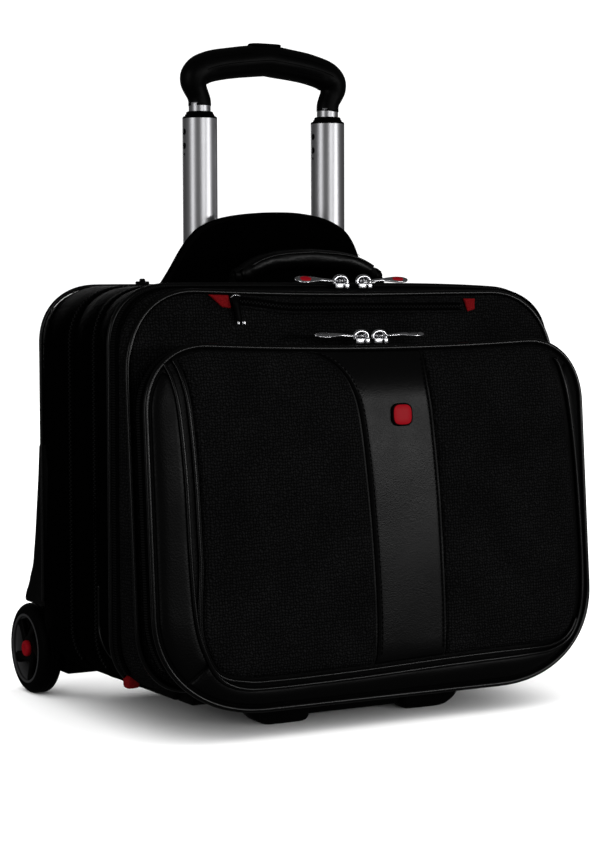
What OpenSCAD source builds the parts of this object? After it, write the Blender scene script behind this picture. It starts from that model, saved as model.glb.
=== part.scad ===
// Rolling laptop case: soft case on two corner wheels with a two-stage trolley handle.
// X runs across the case, Y from the front to the back, Z up. The origin is on the
// ground at the middle of the whole object. Inside the modules Y is counted from the
// edge piping of the front pocket, and centred() moves it to the origin.

/* [Case body] */
// Width of the case body without its piping
case_w = 420; // [380:1:450]
// Height of the body's top above the ground
case_top = 370; // [350:1:380]
// Height of the body's underside above the ground
case_low = 30; // [28:1:34]
// Y of the seam between the main lid and the tub
seam_y = 64; // [62:1:70]
// Y of the tub's flat back
back_y = 234; // [230:1:234]
// Radius of the upper corners
corner_top = 42; // [30:1:55]
// Radius of the lower corners
corner_low = 50; // [40:1:60]
// Padded wall thickness
wall = 4; // [3:0.5:6]

/* [Front pocket] */
// Width of the front pocket
pocket_w = 426; // [390:1:440]
// Height of the pocket's top
pocket_top = 322; // [290:1:330]
// Height of the pocket's underside
pocket_low = 26; // [24:1:30]
// Depth of the pocket flap behind its piping
pocket_depth = 12; // [8:1:14]
// How far the pocket's face is domed forward
dome = 10; // [6:1:14]
// Backward lean of the front faces in degrees
lean = 4.3; // [3:0.1:5]

/* [Wheels and feet] */
// Wheel diameter
wheel_d = 82; // [74:1:84]
// Wheel width
wheel_w = 22; // [18:1:26]
// X of the wheel's outer face
wheel_out = 207.5; // [200:0.5:210]
// Y of the wheel axis
wheel_y = 278; // [277:1:284]
// Axle diameter
axle_d = 8; // [6:0.5:10]
// Running clearance round the axle
axle_gap = 0.05; // [0.02:0.01:0.1]

/* [Trolley handle] */
// Distance between the two tube axes
tube_pitch = 132.6; // [120:0.2:140]
// Y of the tube axes
tube_y = 198; // [197:1:200]
// Outer diameter of the wide tubes
wide_d = 31.3; // [28:0.1:32]
// Outer diameter of the narrow tubes
narrow_d = 19.8; // [16:0.1:21]
// Height of the wide tubes' tops as the handle stands
wide_top = 519.5; // [500:0.5:530]
// Height of the top of the grip as the handle stands
grip_top = 586; // [580:1:592]
// Button travel that the grip leaves room for
button_travel = 4; // [3:0.5:5]

/* [Hidden] */

$fn = 48;
e = 0.1;                        // thickness of the thin slabs between which hulls are drawn
wheel_r = wheel_d / 2;
tube_x = tube_pitch / 2;
half_w = case_w / 2;
pocket_half = pocket_w / 2;
wheel_in = wheel_out - wheel_w;

lean_y = -13;                   // Y and Z of the line about which the front faces lean
lean_z = 28;
lid_v = 37;                     // distance of the lid's face behind the pocket's piping
lid_top = 367;
slit_z = 353;                   // height and half length of the slit pocket's zip
slit_x = 112;
lid_corner = 64;
pocket_corner_top = 58;
pocket_corner_low = 74;
lid_seam = seam_y - 0.5;        // the lid's rim, half a millimetre short of the tub's
piping = 3;                     // how far edge piping stands out
tape = 0.8;                     // how far a zip tape stands out
back_round = 22;                // rounding between the sides and the back
trim = 2.6;                     // thickness of the stripe on the pocket's face
back_end = wheel_y + wheel_r;
panel_inset = 27;               // from the pocket's edge to the piping round its weave panels
front_end = lean_y - (dome + piping) * cos(lean) + (pocket_low + panel_inset - lean_z) * sin(lean);
mid_y = (back_end + front_end) / 2;

sleeve_wall = 1.9;
slide_gap = 0.1;                // radial clearance between tubes that slide
sleeve_r = wide_d / 2 + slide_gap + sleeve_wall;
wide_wall = 1.5;
latch_holes = [[12, 3], [24.5, 3], [32, 1.3]];   // depth below the tube's top, and radius
narrow_wall = 1.5;
wide_len = 350.5;
narrow_low = 192;
grip_z = grip_top - 14;         // axis of the grip's bar
neck_low = 530.5;
neck_r = 11.2;
button_half = 14;
button_y = 6;
yoke_z = grip_z - 6;
channel_low = yoke_z - button_travel - 0.5;

pin_z = 3.9;                    // height of a zip slider's pin above its base
puller_len = 45;
main_x = [-4, 19];              // X of the left and right slider of the main lid
main_y = 56;
main_z = case_top - 0.4;
pocket_x = [-7, 11];            // X of the left and right slider of the front pocket
pocket_y = 17;
pocket_z = 323;

shroud_y = [156.5, 174.5];
shroud_half = 110;              // half width of the shroud's foot
shroud_bend = 40;               // how far its ends curve back past the tubes
carry_y = 120;
carry_pin_z = 379;

fabric = [0.07, 0.07, 0.08];
hide = [0.13, 0.13, 0.14];
gloss = [0.03, 0.03, 0.03];
plastic = [0.16, 0.16, 0.17];
rubber = [0.1, 0.1, 0.1];
silver = [0.75, 0.76, 0.78];
steel = [0.55, 0.56, 0.58];
red = [0.75, 0.05, 0.07];

// ---------- placing ----------

module centred() {
    translate([0, -mid_y, 0]) children();
}

// Tilts what is drawn in the upright pocket frame back by the front's lean
module leaned() {
    translate([0, lean_y, lean_z]) rotate([-lean, 0, 0]) translate([0, 0, -lean_z]) children();
}

// A flat shape drawn in X and Z, as a slab from y0 to y1
module slab(y0, y1) {
    translate([0, y1, 0]) rotate([90, 0, 0]) linear_extrude(y1 - y0) children();
}

// A flat shape drawn in Y and Z, as a bar from x0 to x1
module bar(x0, x1) {
    translate([x0, 0, 0]) rotate([90, 0, 90]) linear_extrude(x1 - x0) children();
}

module both_sides() {
    children();
    mirror([1, 0, 0]) children();
}

// ---------- outlines in X and Z ----------

module outline(half, low, high, r_top, r_low) {
    hull() {
        for (s = [-1, 1]) {
            translate([s * (half - r_top), high - r_top]) circle(r_top);
            translate([s * (half - r_low), low + r_low]) circle(r_low);
        }
    }
}

module tub_outline(g) {
    outline(half_w + g, case_low - g, case_top + g, corner_top + g, corner_low + g);
}

module lid_outline(g) {
    outline(half_w - 1 + g, case_low - g, lid_top + g, lid_corner + g, corner_low + g);
}

module pocket_outline(g) {
    outline(pocket_half + g, pocket_low - g, pocket_top + g, pocket_corner_top + g, pocket_corner_low + g);
}

// ---------- soft bodies ----------

// The tub grown by g: straight sides, rounded into a flat back
module tub_solid(g, front = seam_y) {
    r = back_round + g;
    hull() {
        slab(front, back_y - back_round) tub_outline(g);
        for (a = [22.5:22.5:90]) {
            y = back_y - back_round + r * sin(a);
            slab(y - e, y) tub_outline(g - r * (1 - cos(a)));
        }
    }
}

// The lid grown by g: from its leaning face back to the upright seam
module lid_solid(g, face = lid_v, seam = lid_seam) {
    hull() {
        leaned() slab(face, face + e) lid_outline(g);
        slab(seam - e, seam) tub_outline(g);
    }
}

// The pocket flap grown by g, in the upright pocket frame
module pocket_solid(g, depth = pocket_depth) {
    edge = 26;
    hull() {
        slab(0, depth) pocket_outline(g);
        for (a = [22.5:22.5:90]) {
            y = -(dome + g) * sin(a);
            slab(y, y + e) pocket_outline(g - edge * (1 - cos(a)));
        }
    }
}

module tub_shell() {
    color(fabric) centred() difference() {
        tub_solid(0);
        tub_solid(-wall, seam_y - 1);
        both_sides() translate([tube_x, tube_y, case_top - 20]) cylinder(r = sleeve_r, h = 40);
    }
}

// A band round the sides and top of the tub, from y0 to y1, that stands out by g
module tub_band(g, y0, y1) {
    band_low = 48;              // the bands end above the base
    difference() {
        slab(y0, y1) intersection() {
            tub_outline(g);
            translate([-300, band_low]) square([600, 400]);
        }
        slab(y0 - 1, y1 + 1) tub_outline(0);
    }
}

module rim_piping() {
    color(gloss) centred() tub_band(piping, 68, 73);
}

module tub_tape(y0, y1) {
    color(fabric) centred() tub_band(tape, y0, y1);
}

module zip_middle() {
    tub_tape(98, 106);
}

module zip_rear() {
    tub_tape(148, 156);
}

module divider_panel() {
    divider_top = 300;
    color(hide) centred() slab(97, 101) intersection() {
        tub_outline(-wall);
        translate([-half_w, 0]) square([case_w, divider_top]);
    }
}

module handle_wall() {
    color(plastic) centred() slab(172, 176) tub_outline(-wall);
}

// ---------- base, feet and back ----------

module base_plate() {
    plate_low = 22;
    plate_front = 40;
    color(plastic) centred() difference() {
        translate([-165, plate_front, plate_low]) cube([330, back_y - plate_front, 8]);
        translate([-170, plate_front - 1, lean_z]) cube([340, seam_y - plate_front + 1, 5]);
    }
}

module kick_plate() {
    guard_y = 268;              // how far the mudguards reach back
    guard_z = 86;               // underside of the mudguards, above the wheels
    color(plastic) centred() {
        intersection() {
            bar(-206, 206) polygon([
                [back_y, guard_z], [guard_y, guard_z], [guard_y, guard_z + 6],
                [256, 110], [246, 150], [239, 230], [back_y, 230]
            ]);
            linear_extrude(240) hull() {
                for (s = [-1, 1]) {
                    translate([s * 182, guard_y - 24]) circle(24);
                }
                translate([-206, back_y]) square([412, 1]);
            }
        }
        bar(-150, 150) polygon([
            [back_y, 40], [250, 40], [262, 60], [262, guard_z], [back_y, guard_z]
        ]);
    }
}

module front_feet() {
    color(rubber) centred() both_sides() slab(36, 54) polygon([
        [44, 22], [50, 0], [98, 0], [110, 14], [110, 22]
    ]);
}

module foot_bar() {
    color(plastic) centred() translate([-44, 42, 14]) cube([88, 12, 8]);
}

module wheel_bracket(side) {
    inner = 150;
    color(plastic) centred() mirror([side < 0 ? 1 : 0, 0, 0]) difference() {
        union() {
            translate([inner, back_y, 22]) cube([wheel_in - 2 - inner, 24, 64]);
            translate([165, back_y + 24, 24]) cube([wheel_in - 2 - 165, wheel_y - back_y - 24, 34]);
            bar(165, wheel_in - 2) translate([wheel_y, wheel_r]) circle(17);
        }
        bar(140, 220) translate([wheel_y, wheel_r]) circle(axle_d / 2);
    }
}

module wheel_bracket_left() {
    wheel_bracket(-1);
}

module wheel_bracket_right() {
    wheel_bracket(1);
}

module axle(side) {
    color(steel) centred() mirror([side < 0 ? 1 : 0, 0, 0])
        bar(165, wheel_out - 4) translate([wheel_y, wheel_r]) circle(axle_d / 2);
}

module axle_left() {
    axle(-1);
}

module axle_right() {
    axle(1);
}

// ---------- wheels, turned about X ----------

// A profile drawn as radius and X, turned about the wheel's axis
module turned(side) {
    centred() mirror([side < 0 ? 1 : 0, 0, 0]) translate([0, wheel_y, wheel_r])
        rotate([0, 90, 0]) rotate_extrude($fn = 96) children();
}

module tyre(side) {
    color(rubber) turned(side) difference() {
        union() {
            translate([33, wheel_in]) square([5, wheel_w]);
            translate([33, wheel_in + 3]) square([wheel_r - 33, wheel_w - 6]);
            translate([38, wheel_in + 3]) circle(3);
            translate([38, wheel_out - 3]) circle(3);
        }
        translate([32, wheel_in - 1]) square([1, wheel_w + 2]);
    }
}

module tyre_left() {
    tyre(-1);
}

module tyre_right() {
    tyre(1);
}

module rim(side) {
    color(plastic) {
        difference() {
            union() {
                turned(side) translate([28, wheel_in + 2]) square([5, wheel_w - 4]);
                turned(side) translate([axle_d / 2 + axle_gap, wheel_in]) square([8, wheel_w - 4]);
                turned(side) translate([11, wheel_in + 10]) square([18, 3]);
                centred() mirror([side < 0 ? 1 : 0, 0, 0]) for (a = [0:72:359])
                    translate([0, wheel_y, wheel_r]) rotate([a, 0, 0])
                        translate([wheel_in + 9, -4, 10]) cube([12, 8, 19]);
            }
            turned(side) translate([0, wheel_in - 1]) square([axle_d / 2 + axle_gap, wheel_w + 2]);
        }
    }
}

module rim_left() {
    rim(-1);
}

module rim_right() {
    rim(1);
}

module hub_cap(side) {
    color(red) turned(side) translate([0, wheel_out - 3.6]) union() {
        square([9, 3.1]);
        translate([axle_d / 2 + 1, -0.4]) square([5, 1]);
    }
}

module hub_cap_left() {
    hub_cap(-1);
}

module hub_cap_right() {
    hub_cap(1);
}

// ---------- inside the tub: sleeves of the trolley handle ----------

module handle_sleeves() {
    color(silver) centred() both_sides() translate([tube_x, tube_y, 40]) difference() {
        cylinder(r = sleeve_r, h = case_top - 40);
        translate([0, 0, -1]) cylinder(r = wide_d / 2 + slide_gap, h = case_top);
    }
}

module sleeve_base() {
    color(plastic) centred() translate([-88, tube_y - 20, case_low + wall]) cube([176, 33, 6]);
}

module tube_guides() {
    color(plastic) centred() both_sides() translate([tube_x, tube_y, case_top]) difference() {
        cylinder(r = 18, h = 6);
        translate([0, 0, -1]) cylinder(r = wide_d / 2 + slide_gap, h = 8);
    }
}

// ---------- shroud and carry handle on top ----------

module shroud_outline(g) {
    top = 435;
    shoulder = 38;
    hull() {
        for (s = [-1, 1]) {
            translate([s * 58, top - shoulder]) circle(shoulder + g);
        }
        translate([-shroud_half - g, case_top]) square([2 * (shroud_half + g), e]);
    }
}

// A wall that follows the shroud's curve, inset from its front and back
module shroud_wall(inset) {
    edge = shroud_half + 4;
    function bent(x) = shroud_bend * pow(abs(x) / shroud_half, 5);
    linear_extrude(500) polygon(concat(
        [for (x = [-edge:6:edge]) [x, shroud_y[0] + inset + bent(x)]],
        [for (x = [edge:-6:-edge]) [x, shroud_y[1] - inset + bent(x)]]
    ));
}

// The shroud's outline grown by g, above the top of the case
module shroud_slab(g) {
    slab(shroud_y[0], shroud_y[1] + shroud_bend * 1.5) intersection() {
        shroud_outline(g);
        translate([-150, case_top]) square([300, 100]);
    }
}

module handle_shroud() {
    color(fabric) centred() intersection() {
        shroud_slab(-4);
        shroud_wall(0);
    }
}

module shroud_binding() {
    color(hide) centred() difference() {
        intersection() {
            shroud_slab(0);
            shroud_wall(4);
        }
        slab(shroud_y[0] - 1, shroud_y[1] + 2 * shroud_bend) shroud_outline(-4);
    }
}

module carry_anchors() {
    color(plastic) centred() both_sides() {
        translate([78, carry_y - 8, case_top]) cube([7, 16, 13]);
        translate([69, carry_y, carry_pin_z]) rotate([0, 90, 0]) cylinder(r = 2.5, h = 9);
    }
}

module carry_handle() {
    arch_r = 157;
    arch_z = 395;
    pad_angle = 19;
    tab_angle = 24.8;
    module arc(from, to) {
        translate([0, carry_y, arch_z - arch_r]) rotate([90, 0, 0])
            rotate([0, 0, 90 + from]) rotate_extrude(angle = to - from, $fn = 96) children();
    }
    color(hide) centred() {
        arc(-pad_angle, pad_angle) translate([arch_r, 0]) union() {
            square([12, 14], center = true);
            for (s = [-1, 1]) {
                translate([0, 7 * s]) circle(6);
            }
        }
        for (s = [-1, 1]) {
            arc(s < 0 ? -tab_angle : pad_angle - 1, s < 0 ? 1 - pad_angle : tab_angle)
                translate([arch_r - 2.5, -6]) square([5, 12]);
        }
        both_sides() difference() {
            translate([65, carry_y, carry_pin_z]) rotate([0, 90, 0]) cylinder(r = 5, h = 11);
            translate([68.5, carry_y, carry_pin_z]) rotate([0, 90, 0]) cylinder(r = 2.58, h = 30);
        }
    }
}

// ---------- main lid ----------

module lid_shell() {
    color(fabric) centred() difference() {
        lid_solid(0);
        lid_solid(-wall, lid_v + wall - 0.5, lid_seam + 2);
    }
}

module lid_piping() {
    color(gloss) centred() difference() {
        leaned() slab(lid_v - 2.5, lid_v + piping) lid_outline(piping);
        leaned() slab(lid_v - 5, lid_v + 5) lid_outline(-piping);
        lid_solid(0);
    }
}

module lid_zip() {
    color(fabric) centred() difference() {
        intersection() {
            lid_solid(tape);
            translate([-300, lid_seam - 7, 0]) cube([600, 7, 500]);
        }
        lid_solid(0);
    }
}

module slit_zip() {
    color(gloss) centred() leaned() slab(lid_v - 1.2, lid_v)
        translate([-slit_x, slit_z - 4]) square([2 * slit_x, 6]);
}

module slit_tabs() {
    color(red) centred() leaned() slab(lid_v - 1.5, lid_v) {
        polygon([[-140, 361], [-123, 361], [-121, 351], [-129, 353]]);
        polygon([[116, 360], [128, 360], [127, 350], [120, 348]]);
    }
}

module slit_slider() {
    color(steel) centred() leaned() {
        slab(lid_v - 4, lid_v - 1.6) translate([-slit_x - 6, slit_z - 5]) square([9, 7]);
        slab(lid_v - 4, lid_v - 2.4) translate([-slit_x - 5, slit_z - 22]) square([7, 17]);
    }
}

// Gusset between the lid's face and the pocket's zip, narrowing towards the lid
module pocket_gusset() {
    start = pocket_depth + 1.5;
    module loft(g, y0, y1) {
        hull() {
            slab(y0, y0 + e) pocket_outline(g);
            slab(y1 - e, y1) pocket_outline(g - 11);
        }
    }
    color(fabric) centred() leaned() difference() {
        loft(0, start, lid_v);
        loft(-wall, start - 0.5, lid_v + 0.5);
    }
}

// ---------- front pocket ----------

module pocket_shell() {
    color(hide) centred() leaned() difference() {
        pocket_solid(0);
        pocket_solid(-wall + 0.5, pocket_depth + 1);
    }
}

module pocket_piping() {
    color(gloss) centred() leaned() difference() {
        slab(-2.5, 2.5) pocket_outline(piping);
        slab(-5, 5) pocket_outline(0);
    }
}

module pocket_zip() {
    color(fabric) centred() leaned() difference() {
        slab(pocket_depth - 6, pocket_depth) pocket_outline(tape);
        slab(0, pocket_depth + 1) pocket_outline(0);
    }
}

module inner_piping() {
    color(gloss) centred() leaned() difference() {
        slab(-dome - piping, -dome) pocket_outline(-panel_inset);
        slab(-dome - 5, 0) pocket_outline(-panel_inset - piping);
    }
}

// Left edge curving out towards the top, right edge almost straight
module stripe_outline() {
    polygon([
        [-14, 0], [-11, 110], [-14, 190], [-22, 262], [-31, 284], [-42, 300],
        [48, 300], [50, 255], [54, 187], [55, 101], [53, 0]
    ]);
}

module weave_panels() {
    color(fabric) centred() leaned() slab(-dome - 2, -dome) difference() {
        pocket_outline(-panel_inset - piping);
        stripe_outline();
    }
}

module centre_stripe() {
    color([0.22, 0.22, 0.23]) centred() leaned() slab(-dome - trim, -dome) intersection() {
        pocket_outline(-panel_inset - piping);
        stripe_outline();
    }
}

module badge() {
    badge_x = 16;
    badge_z = 262;
    badge_half = 7;
    color(red) centred() leaned() slab(-dome - trim - 2, -dome - trim) hull() {
        for (sx = [-1, 1], sz = [-1, 1]) {
            translate([badge_x + sx * badge_half, badge_z + sz * badge_half]) circle(3);
        }
    }
}

// ---------- trolley handle ----------

module wide_tube(side) {
    hole_x = wide_d / 2 + 1;
    color(silver) centred() translate([side * tube_x, tube_y, wide_top - wide_len]) difference() {
        cylinder(d = wide_d, h = wide_len);
        translate([0, 0, -1]) cylinder(d = wide_d - 2 * wide_wall, h = wide_len + 2);
        for (hole = latch_holes) {
            translate([-hole_x, 0, wide_len - hole[0]]) rotate([0, 90, 0]) cylinder(r = hole[1], h = 3);
        }
    }
}

module wide_tube_left() {
    wide_tube(-1);
}

module wide_tube_right() {
    wide_tube(1);
}

module tube_collars() {
    color(plastic) centred() both_sides() translate([tube_x, tube_y, wide_top]) difference() {
        union() {
            translate([0, 0, -20]) cylinder(d = wide_d - 2 * wide_wall, h = 20);
            cylinder(d = wide_d, h = 4);
            translate([0, 0, 4]) cylinder(d = 26, h = 3.5);
        }
        translate([0, 0, -21]) cylinder(d = narrow_d + 0.16, h = 40);
    }
}

module narrow_tube(side) {
    socket = 20;
    color(silver) centred() translate([side * tube_x, tube_y, narrow_low]) difference() {
        cylinder(d = narrow_d, h = neck_low + socket - narrow_low);
        translate([0, 0, -1]) cylinder(d = narrow_d - 2 * narrow_wall, h = 400);
    }
}

module narrow_tube_left() {
    narrow_tube(-1);
}

module narrow_tube_right() {
    narrow_tube(1);
}

module latch_blocks() {
    color(plastic) centred() both_sides() translate([tube_x, tube_y, narrow_low - 16])
        cylinder(d = wide_d - 2 * wide_wall - 0.5, h = 16);
}

// The grip as one closed shape with its channel, before it is cut into halves
module grip_solid() {
    corner_z = grip_z - 10;
    difference() {
        union() {
            translate([-tube_x, tube_y, grip_z]) rotate([0, 90, 0]) cylinder(r = 14, h = tube_pitch);
            both_sides() {
                translate([tube_x + 1.5, tube_y, corner_z]) sphere(18);
                translate([tube_x, tube_y, neck_low]) cylinder(r = neck_r, h = corner_z - neck_low);
            }
        }
        both_sides() {
            translate([tube_x, tube_y, neck_low - 1]) cylinder(d = narrow_d, h = 21);
            translate([tube_x, tube_y, neck_low]) cylinder(r = 4, h = 34);
        }
        translate([-tube_x - 5, tube_y - 5, channel_low]) cube([tube_pitch + 10, 10, 15]);
        translate([-button_half - 0.4, tube_y - button_y - 0.4, grip_z])
            cube([2 * button_half + 0.8, 2 * button_y + 0.8, 30]);
    }
}

module grip_front() {
    color(rubber) centred() intersection() {
        grip_solid();
        translate([-200, tube_y - 100, 500]) cube([400, 100, 200]);
    }
}

module grip_back() {
    color(rubber) centred() intersection() {
        grip_solid();
        translate([-200, tube_y, 500]) cube([400, 100, 200]);
    }
}

module release_button() {
    color(plastic) centred() {
        translate([-button_half, tube_y - button_y, grip_z + 6])
            cube([2 * button_half, 2 * button_y, 11]);
        translate([-4, tube_y - 4, yoke_z + 5]) cube([8, 8, 7]);
    }
}

module push_rods() {
    rod_low = narrow_low + button_travel + 4;
    color(steel) centred() {
        translate([-tube_x - 3, tube_y - 4, yoke_z]) cube([tube_pitch + 6, 8, 5]);
        both_sides() translate([tube_x, tube_y, rod_low]) cylinder(r = 2.5, h = yoke_z - rod_low);
    }
}

// ---------- zip sliders, with pullers that lie outwards ----------

module slider(x, y, z) {
    color(silver) centred() translate([x, y, z]) {
        translate([-6, -4.2, 0]) cube([12, 8.4, 1.6]);
        for (s = [-1, 1]) {
            translate([-1.5, s * 3.6 - 0.6, 1.6]) cube([3, 1.2, pin_z - 0.6]);
        }
        translate([0, 3, pin_z]) rotate([90, 0, 0]) cylinder(r = 1, h = 6);
    }
}

module puller(x, y, z, dir) {
    color(silver) centred() translate([x, y, z + pin_z]) mirror([dir < 0 ? 1 : 0, 0, 0]) {
        difference() {
            union() {
                translate([0, 2.5, 0]) rotate([90, 0, 0]) cylinder(r = 1.9, h = 5);
                translate([0, 0, -0.8]) linear_extrude(1.6) polygon([
                    [0, -2.5], [8, -2.5], [16, -2.5], [puller_len - 12, -4], [puller_len - 4, -4],
                    [puller_len, 0], [puller_len - 4, 4], [puller_len - 12, 4], [16, 2.5], [0, 2.5]
                ]);
            }
            translate([0, 4, 0]) rotate([90, 0, 0]) cylinder(r = 1.08, h = 8);
        }
    }
}

module main_slider_left() {
    slider(main_x[0], main_y, main_z);
}

module main_slider_right() {
    slider(main_x[1], main_y, main_z);
}

module main_puller_left() {
    puller(main_x[0], main_y, main_z, -1);
}

module main_puller_right() {
    puller(main_x[1], main_y, main_z, 1);
}

module pocket_slider_left() {
    slider(pocket_x[0], pocket_y, pocket_z);
}

module pocket_slider_right() {
    slider(pocket_x[1], pocket_y, pocket_z);
}

module pocket_puller_left() {
    puller(pocket_x[0], pocket_y, pocket_z, -1);
}

module pocket_puller_right() {
    puller(pocket_x[1], pocket_y, pocket_z, 1);
}

module rear_slider() {
    color(gloss) centred() translate([-146, 152, case_top + tape + 0.3]) {
        translate([-5, -4, 0]) cube([10, 8, 2]);
        translate([0, 0, 2]) cylinder(r = 2.5, h = 3);
    }
}

tub_shell();
rim_piping();
zip_middle();
zip_rear();
divider_panel();
handle_wall();
base_plate();
kick_plate();
front_feet();
foot_bar();
wheel_bracket_left();
wheel_bracket_right();
axle_left();
axle_right();
handle_sleeves();
sleeve_base();
tube_guides();
handle_shroud();
shroud_binding();
carry_anchors();
lid_shell();
lid_piping();
lid_zip();
slit_zip();
slit_tabs();
pocket_gusset();
pocket_shell();
pocket_piping();
inner_piping();
weave_panels();
centre_stripe();
badge();
pocket_zip();
wide_tube_left();
wide_tube_right();
tube_collars();
narrow_tube_left();
narrow_tube_right();
latch_blocks();
grip_front();
grip_back();
release_button();
push_rods();
tyre_left();
tyre_right();
rim_left();
rim_right();
hub_cap_left();
hub_cap_right();
carry_handle();
main_slider_left();
main_slider_right();
main_puller_left();
main_puller_right();
pocket_slider_left();
pocket_slider_right();
pocket_puller_left();
pocket_puller_right();
slit_slider();
rear_slider();
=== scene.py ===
"""Rolling laptop case: the soft goods, mouldings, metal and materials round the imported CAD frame.

Shapes are worked out in millimetres in the case's own frame: X across, Y counted back from the
edge piping of the front pocket, Z up from the ground. build() moves them to the shared frame.
"""

from math import cos, pi, radians, sin

import bmesh
import bpy
import numpy as np
from mathutils import Euler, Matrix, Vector, noise


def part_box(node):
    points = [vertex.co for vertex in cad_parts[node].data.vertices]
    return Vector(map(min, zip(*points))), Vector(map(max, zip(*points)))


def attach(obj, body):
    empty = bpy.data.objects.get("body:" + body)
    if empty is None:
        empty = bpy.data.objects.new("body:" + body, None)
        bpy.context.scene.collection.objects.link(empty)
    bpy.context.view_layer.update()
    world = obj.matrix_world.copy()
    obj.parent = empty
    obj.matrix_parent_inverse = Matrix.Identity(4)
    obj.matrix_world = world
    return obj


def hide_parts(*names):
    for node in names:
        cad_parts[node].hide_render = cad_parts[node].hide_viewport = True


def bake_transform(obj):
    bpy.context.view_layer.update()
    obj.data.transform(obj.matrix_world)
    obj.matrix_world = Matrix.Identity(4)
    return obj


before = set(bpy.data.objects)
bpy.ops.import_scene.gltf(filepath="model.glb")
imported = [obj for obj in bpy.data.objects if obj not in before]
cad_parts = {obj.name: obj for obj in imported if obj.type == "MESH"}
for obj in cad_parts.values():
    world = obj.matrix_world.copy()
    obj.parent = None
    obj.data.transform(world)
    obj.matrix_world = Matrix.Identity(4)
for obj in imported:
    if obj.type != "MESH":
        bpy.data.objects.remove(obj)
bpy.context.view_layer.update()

MM = 0.001
WHEEL_Y = 278.0                     # Y of the wheel axis in the case's own frame
WHEEL_Z = 41.0
axle_low, axle_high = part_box("axle_left")
SHIFT_Y = (axle_low.y + axle_high.y) / 2 - WHEEL_Y * MM

# ---------- driving sizes, in millimetres ----------

LEAN = radians(4.3)                 # how far the front faces lean back
LEAN_Y, LEAN_Z = -13.0, 28.0        # the line about which they lean
LEAN_BACK = np.array([0, cos(LEAN), -sin(LEAN)])    # the way into the leaning front
SEAM_Y = 64.0                       # seam between the lid and the tub
BACK_Y = 234.0
BACK_ROUND = 22.0
WALL = 4.0
LID_V = 37.0                        # the lid's face behind the pocket's piping
LID_SEAM = SEAM_Y - 0.5
POCKET_DEPTH = 12.0
DOME = 10.0                         # how far the pocket's face stands forward
DOME_REACH = 46.0                   # from the edge to where the face is flat
TUBE_X, TUBE_Y = 66.3, 198.0
GRIP_Z = 572.0
MAIN_ZIP_Y, MAIN_ZIP_Z = 56.0, 369.6
POCKET_ZIP_V = 13.0
SLIT_X = 112.0

OUTLINES = {
    # half width, underside, top, top corner, bottom corner, exponent, sag of the top edge, droop of
    # its left and right ends
    "tub": (213, 35, 370, (52, 50), (46, 46), 2.25, 2.0, (3.0, 9.0)),
    "lid": (209, 44, 371, (64, 74), (44, 52), 2.2, 7.0, (2.0, 6.0)),
    "pocket": (212, 26, 323.5, (57, 57), (98, 80), 2.15, 7.0, (0.0, 0.0)),
}


# ---------- points, paths and outlines ----------

def points_of(x, y, z):
    """Points from their coordinates, any of which may be one number for all of them."""
    return np.stack(np.broadcast_arrays(x, y, z), axis=-1).astype(float)


def turns(count):
    """Angles of a full turn, evenly spaced."""
    return np.linspace(0, 2 * pi, count, endpoint=False)


def squircle(half_a, half_b, power_a, power_b, count):
    """The two coordinates of a rounded rectangle. Its corners are squarer the smaller the powers are."""
    c, s = np.cos(turns(count)), np.sin(turns(count))
    return half_a * np.sign(c) * np.abs(c) ** power_a, half_b * np.sign(s) * np.abs(s) ** power_b


def leaned(x, v, w):
    """Points of the upright pocket frame (across, depth, height), tilted back by the lean."""
    y = LEAN_Y + v * cos(LEAN) + (w - LEAN_Z) * sin(LEAN)
    z = LEAN_Z - v * sin(LEAN) + (w - LEAN_Z) * cos(LEAN)
    return points_of(x, y, z)


def outline(kind, grow=0.0, fine=False):
    """A box with superellipse corners, as a loop in X and Z from the middle of the underside by +X."""
    corner, side, across = (24, 24, 48) if fine else (12, 14, 24)
    half, low, high, top, bottom, power, sag, droop = OUTLINES[kind]
    half, low, high = half + grow, low - grow, high + grow
    top = [max(r + grow, 4) for r in top]
    bottom = [max(r + grow, 4) for r in bottom]
    t = np.linspace(0, pi / 2, corner)
    bulge_x, bulge_z = np.sin(t) ** (2 / power), np.cos(t) ** (2 / power)
    low_x, low_z = half - bottom[0], low + bottom[1]
    top_x, top_z = half - top[0], high - top[1]
    right = [
        np.stack([np.linspace(0, low_x, across // 2)[:-1], np.full(across // 2 - 1, low)], 1),
        np.stack([low_x + bottom[0] * bulge_x, low_z - bottom[1] * bulge_z], 1),
        np.stack([np.full(side - 2, half), np.linspace(low_z, top_z, side)[1:-1]], 1),
        np.stack([top_x + top[0] * bulge_z, top_z + top[1] * bulge_x], 1),
        np.stack([np.linspace(top_x, 0, across // 2)[1:], np.full(across // 2 - 1, high)], 1),
    ]
    right = np.concatenate(right)
    left = right[1:-1][::-1] * [-1, 1]
    loop = np.concatenate([right, left])
    height = (loop[:, 1] - low) / (high - low)
    share = np.clip(np.abs(loop[:, 0]) / half, 0, 1)
    fallen = sag * (1 - share**2) + np.where(loop[:, 0] < 0, droop[0], droop[1]) * share**3
    loop[:, 1] -= fallen * np.clip(height, 0, 1) ** 6
    return loop


def fine_outline(kind, grow, count):
    """A finer outline with evenly spaced points."""
    return evenly(outline(kind, grow, fine=True), count, True)


def upright(loop, y):
    """A loop in X and Z as points at a depth y."""
    return points_of(loop[:, 0], y, loop[:, 1])


def tilted(loop, v):
    """A loop in X and height as points of the leaning front, at a depth v."""
    return leaned(loop[:, 0], v, loop[:, 1])


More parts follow.
